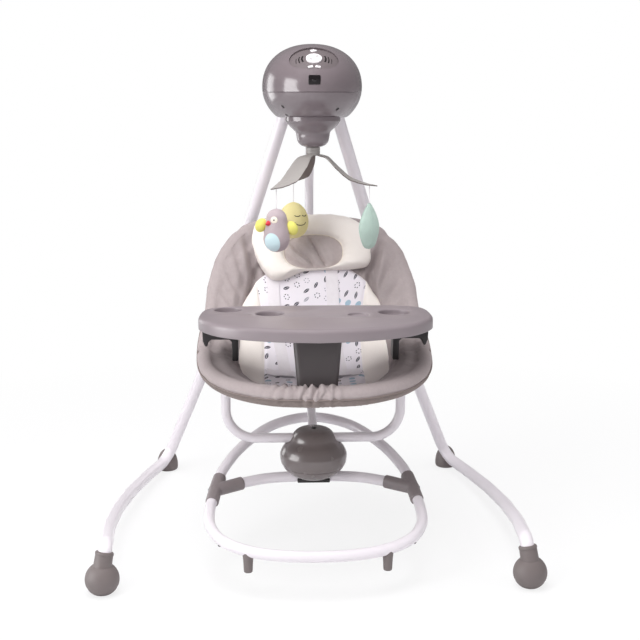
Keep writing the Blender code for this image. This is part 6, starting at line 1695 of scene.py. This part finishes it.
def leafSeam(place, axis, sign, top, drop, steps, width):
    # a stitched line down one face (axis 1) or one edge (axis 0) of the leaf
    turn = Matrix.Rotation(math.radians(toySpecs["leaf"]["turn"]), 3, "Z")
    line = []
    for k in range(steps + 1):
        z = top - drop * k / steps
        away = Vector()
        away[axis] = sign * (radiiAt("leaf", z)[axis] + 0.0002)
        line.append(Vector((place.x, place.y, z)) + turn @ away)
    return tubeAlong(line, width, 8)


# mint leaf
hang = toyHang(0)
stuffed("leaf", hang, "mintPlush")
ribs = [leafSeam(hang, 1, sign, 0.718, 0.080, 14, 0.0006) for sign in (-1, 1)]
edges = [leafSeam(hang, 0, sign, 0.7225, 0.091, 30, 0.0007) for sign in (1, -1)]
dress(merged("leafSeams", *ribs, *edges), "leafSeams", "leaf", "mintPlush", sharp=0)

# sleepy egg
hang = toyHang(1)
stuffed("egg", hang, "lemonPlush")
stitches = []
# each stitched arc: angle of its middle, half its sweep, height, sag and step in degrees
for middle, sweep, height, sag, step in ((-74, 11.5, 0.6880, 0.0026, 15), (-40, 11.5, 0.6880, 0.0026, 15),
                                         (-62, 23, 0.6730, 0.0062, 10)):
    arc = [onToy("egg", hang, middle + sweep * math.sin(math.radians(a)),
                 height - sag * math.cos(math.radians(a))) for a in range(-90, 91, step)]
    stitches.append(tubeAlong(arc, 0.0007, 8))
dress(merged("eggFace", *stitches), "eggFace", "egg", "darkThread", sharp=0)

# bird
hang = toyHang(2)
patchedLook("birdPlush", "mauvePlush", "skyPlush", (hang.x - 0.010, hang.y - 0.020, 0.652),
            (0.0165, 0.020, 0.0215))
stuffed("bird", hang, "birdPlush")
wings = []
for sign in (-1, 1):
    wings.append(bead(Vector((hang.x + sign * 0.0300, hang.y - 0.002, 0.684 - sign * 0.003)),
                      (0.0112, 0.0085, 0.0142), Matrix.Rotation(-sign * 0.45, 3, "Y"), 32))
dress(merged("birdWings", *wings), "birdWings", "bird", "wingPlush", sharp=0)
eyeSpot = onToy("bird", hang, -103, 0.6985, 0.0)
outEye = Vector((eyeSpot.x - hang.x, eyeSpot.y - hang.y, 0)).normalized()
faceTurn = outEye.to_track_quat("Z", "Y").to_matrix()
dress(bead(eyeSpot, (0.0070, 0.0070, 0.0016), faceTurn), "birdEyePatch", "bird", "creamFelt",
      sharp=0)
dress(bead(eyeSpot + outEye * 0.0012, (0.0016, 0.0016, 0.0012), faceTurn, 16), "birdEye", "bird",
      "darkThread", sharp=0)
beakSpot = onToy("bird", hang, -138, 0.6915, -0.0015)
outBeak = Vector((beakSpot.x - hang.x, beakSpot.y - hang.y, 0)).normalized()
beak = barrel(beakSpot, beakSpot + outBeak * 0.0075 - Vector((0, 0, 0.0015)), 0.0060, 0.0012, 32, edge=0.0004)
dress(beak, "birdBeak", "bird", "redFelt", sharp=30)
print("mobile ready")


# finishes of the CAD pieces that stay shown, most of them inside the head
shownLooks = {
    "blackNylon": ("power_inlet", "speaker", "head_chassis", "left_recline_base", "right_recline_base",
                   "left_recline_cheek", "right_recline_cheek"),
    "solderMask": ("circuit_board",), "zincSteel": ("drive_motor", "swing_axle"),
    "turnedBrass": ("drive_pinion", "axle_bush"), "connectorNylon": ("swing_hub",),
}
for lookName, nodeNames in shownLooks.items():
    for nodeName in nodeNames:
        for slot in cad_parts[nodeName].material_slots:
            slot.material = looks[lookName]

print("done")
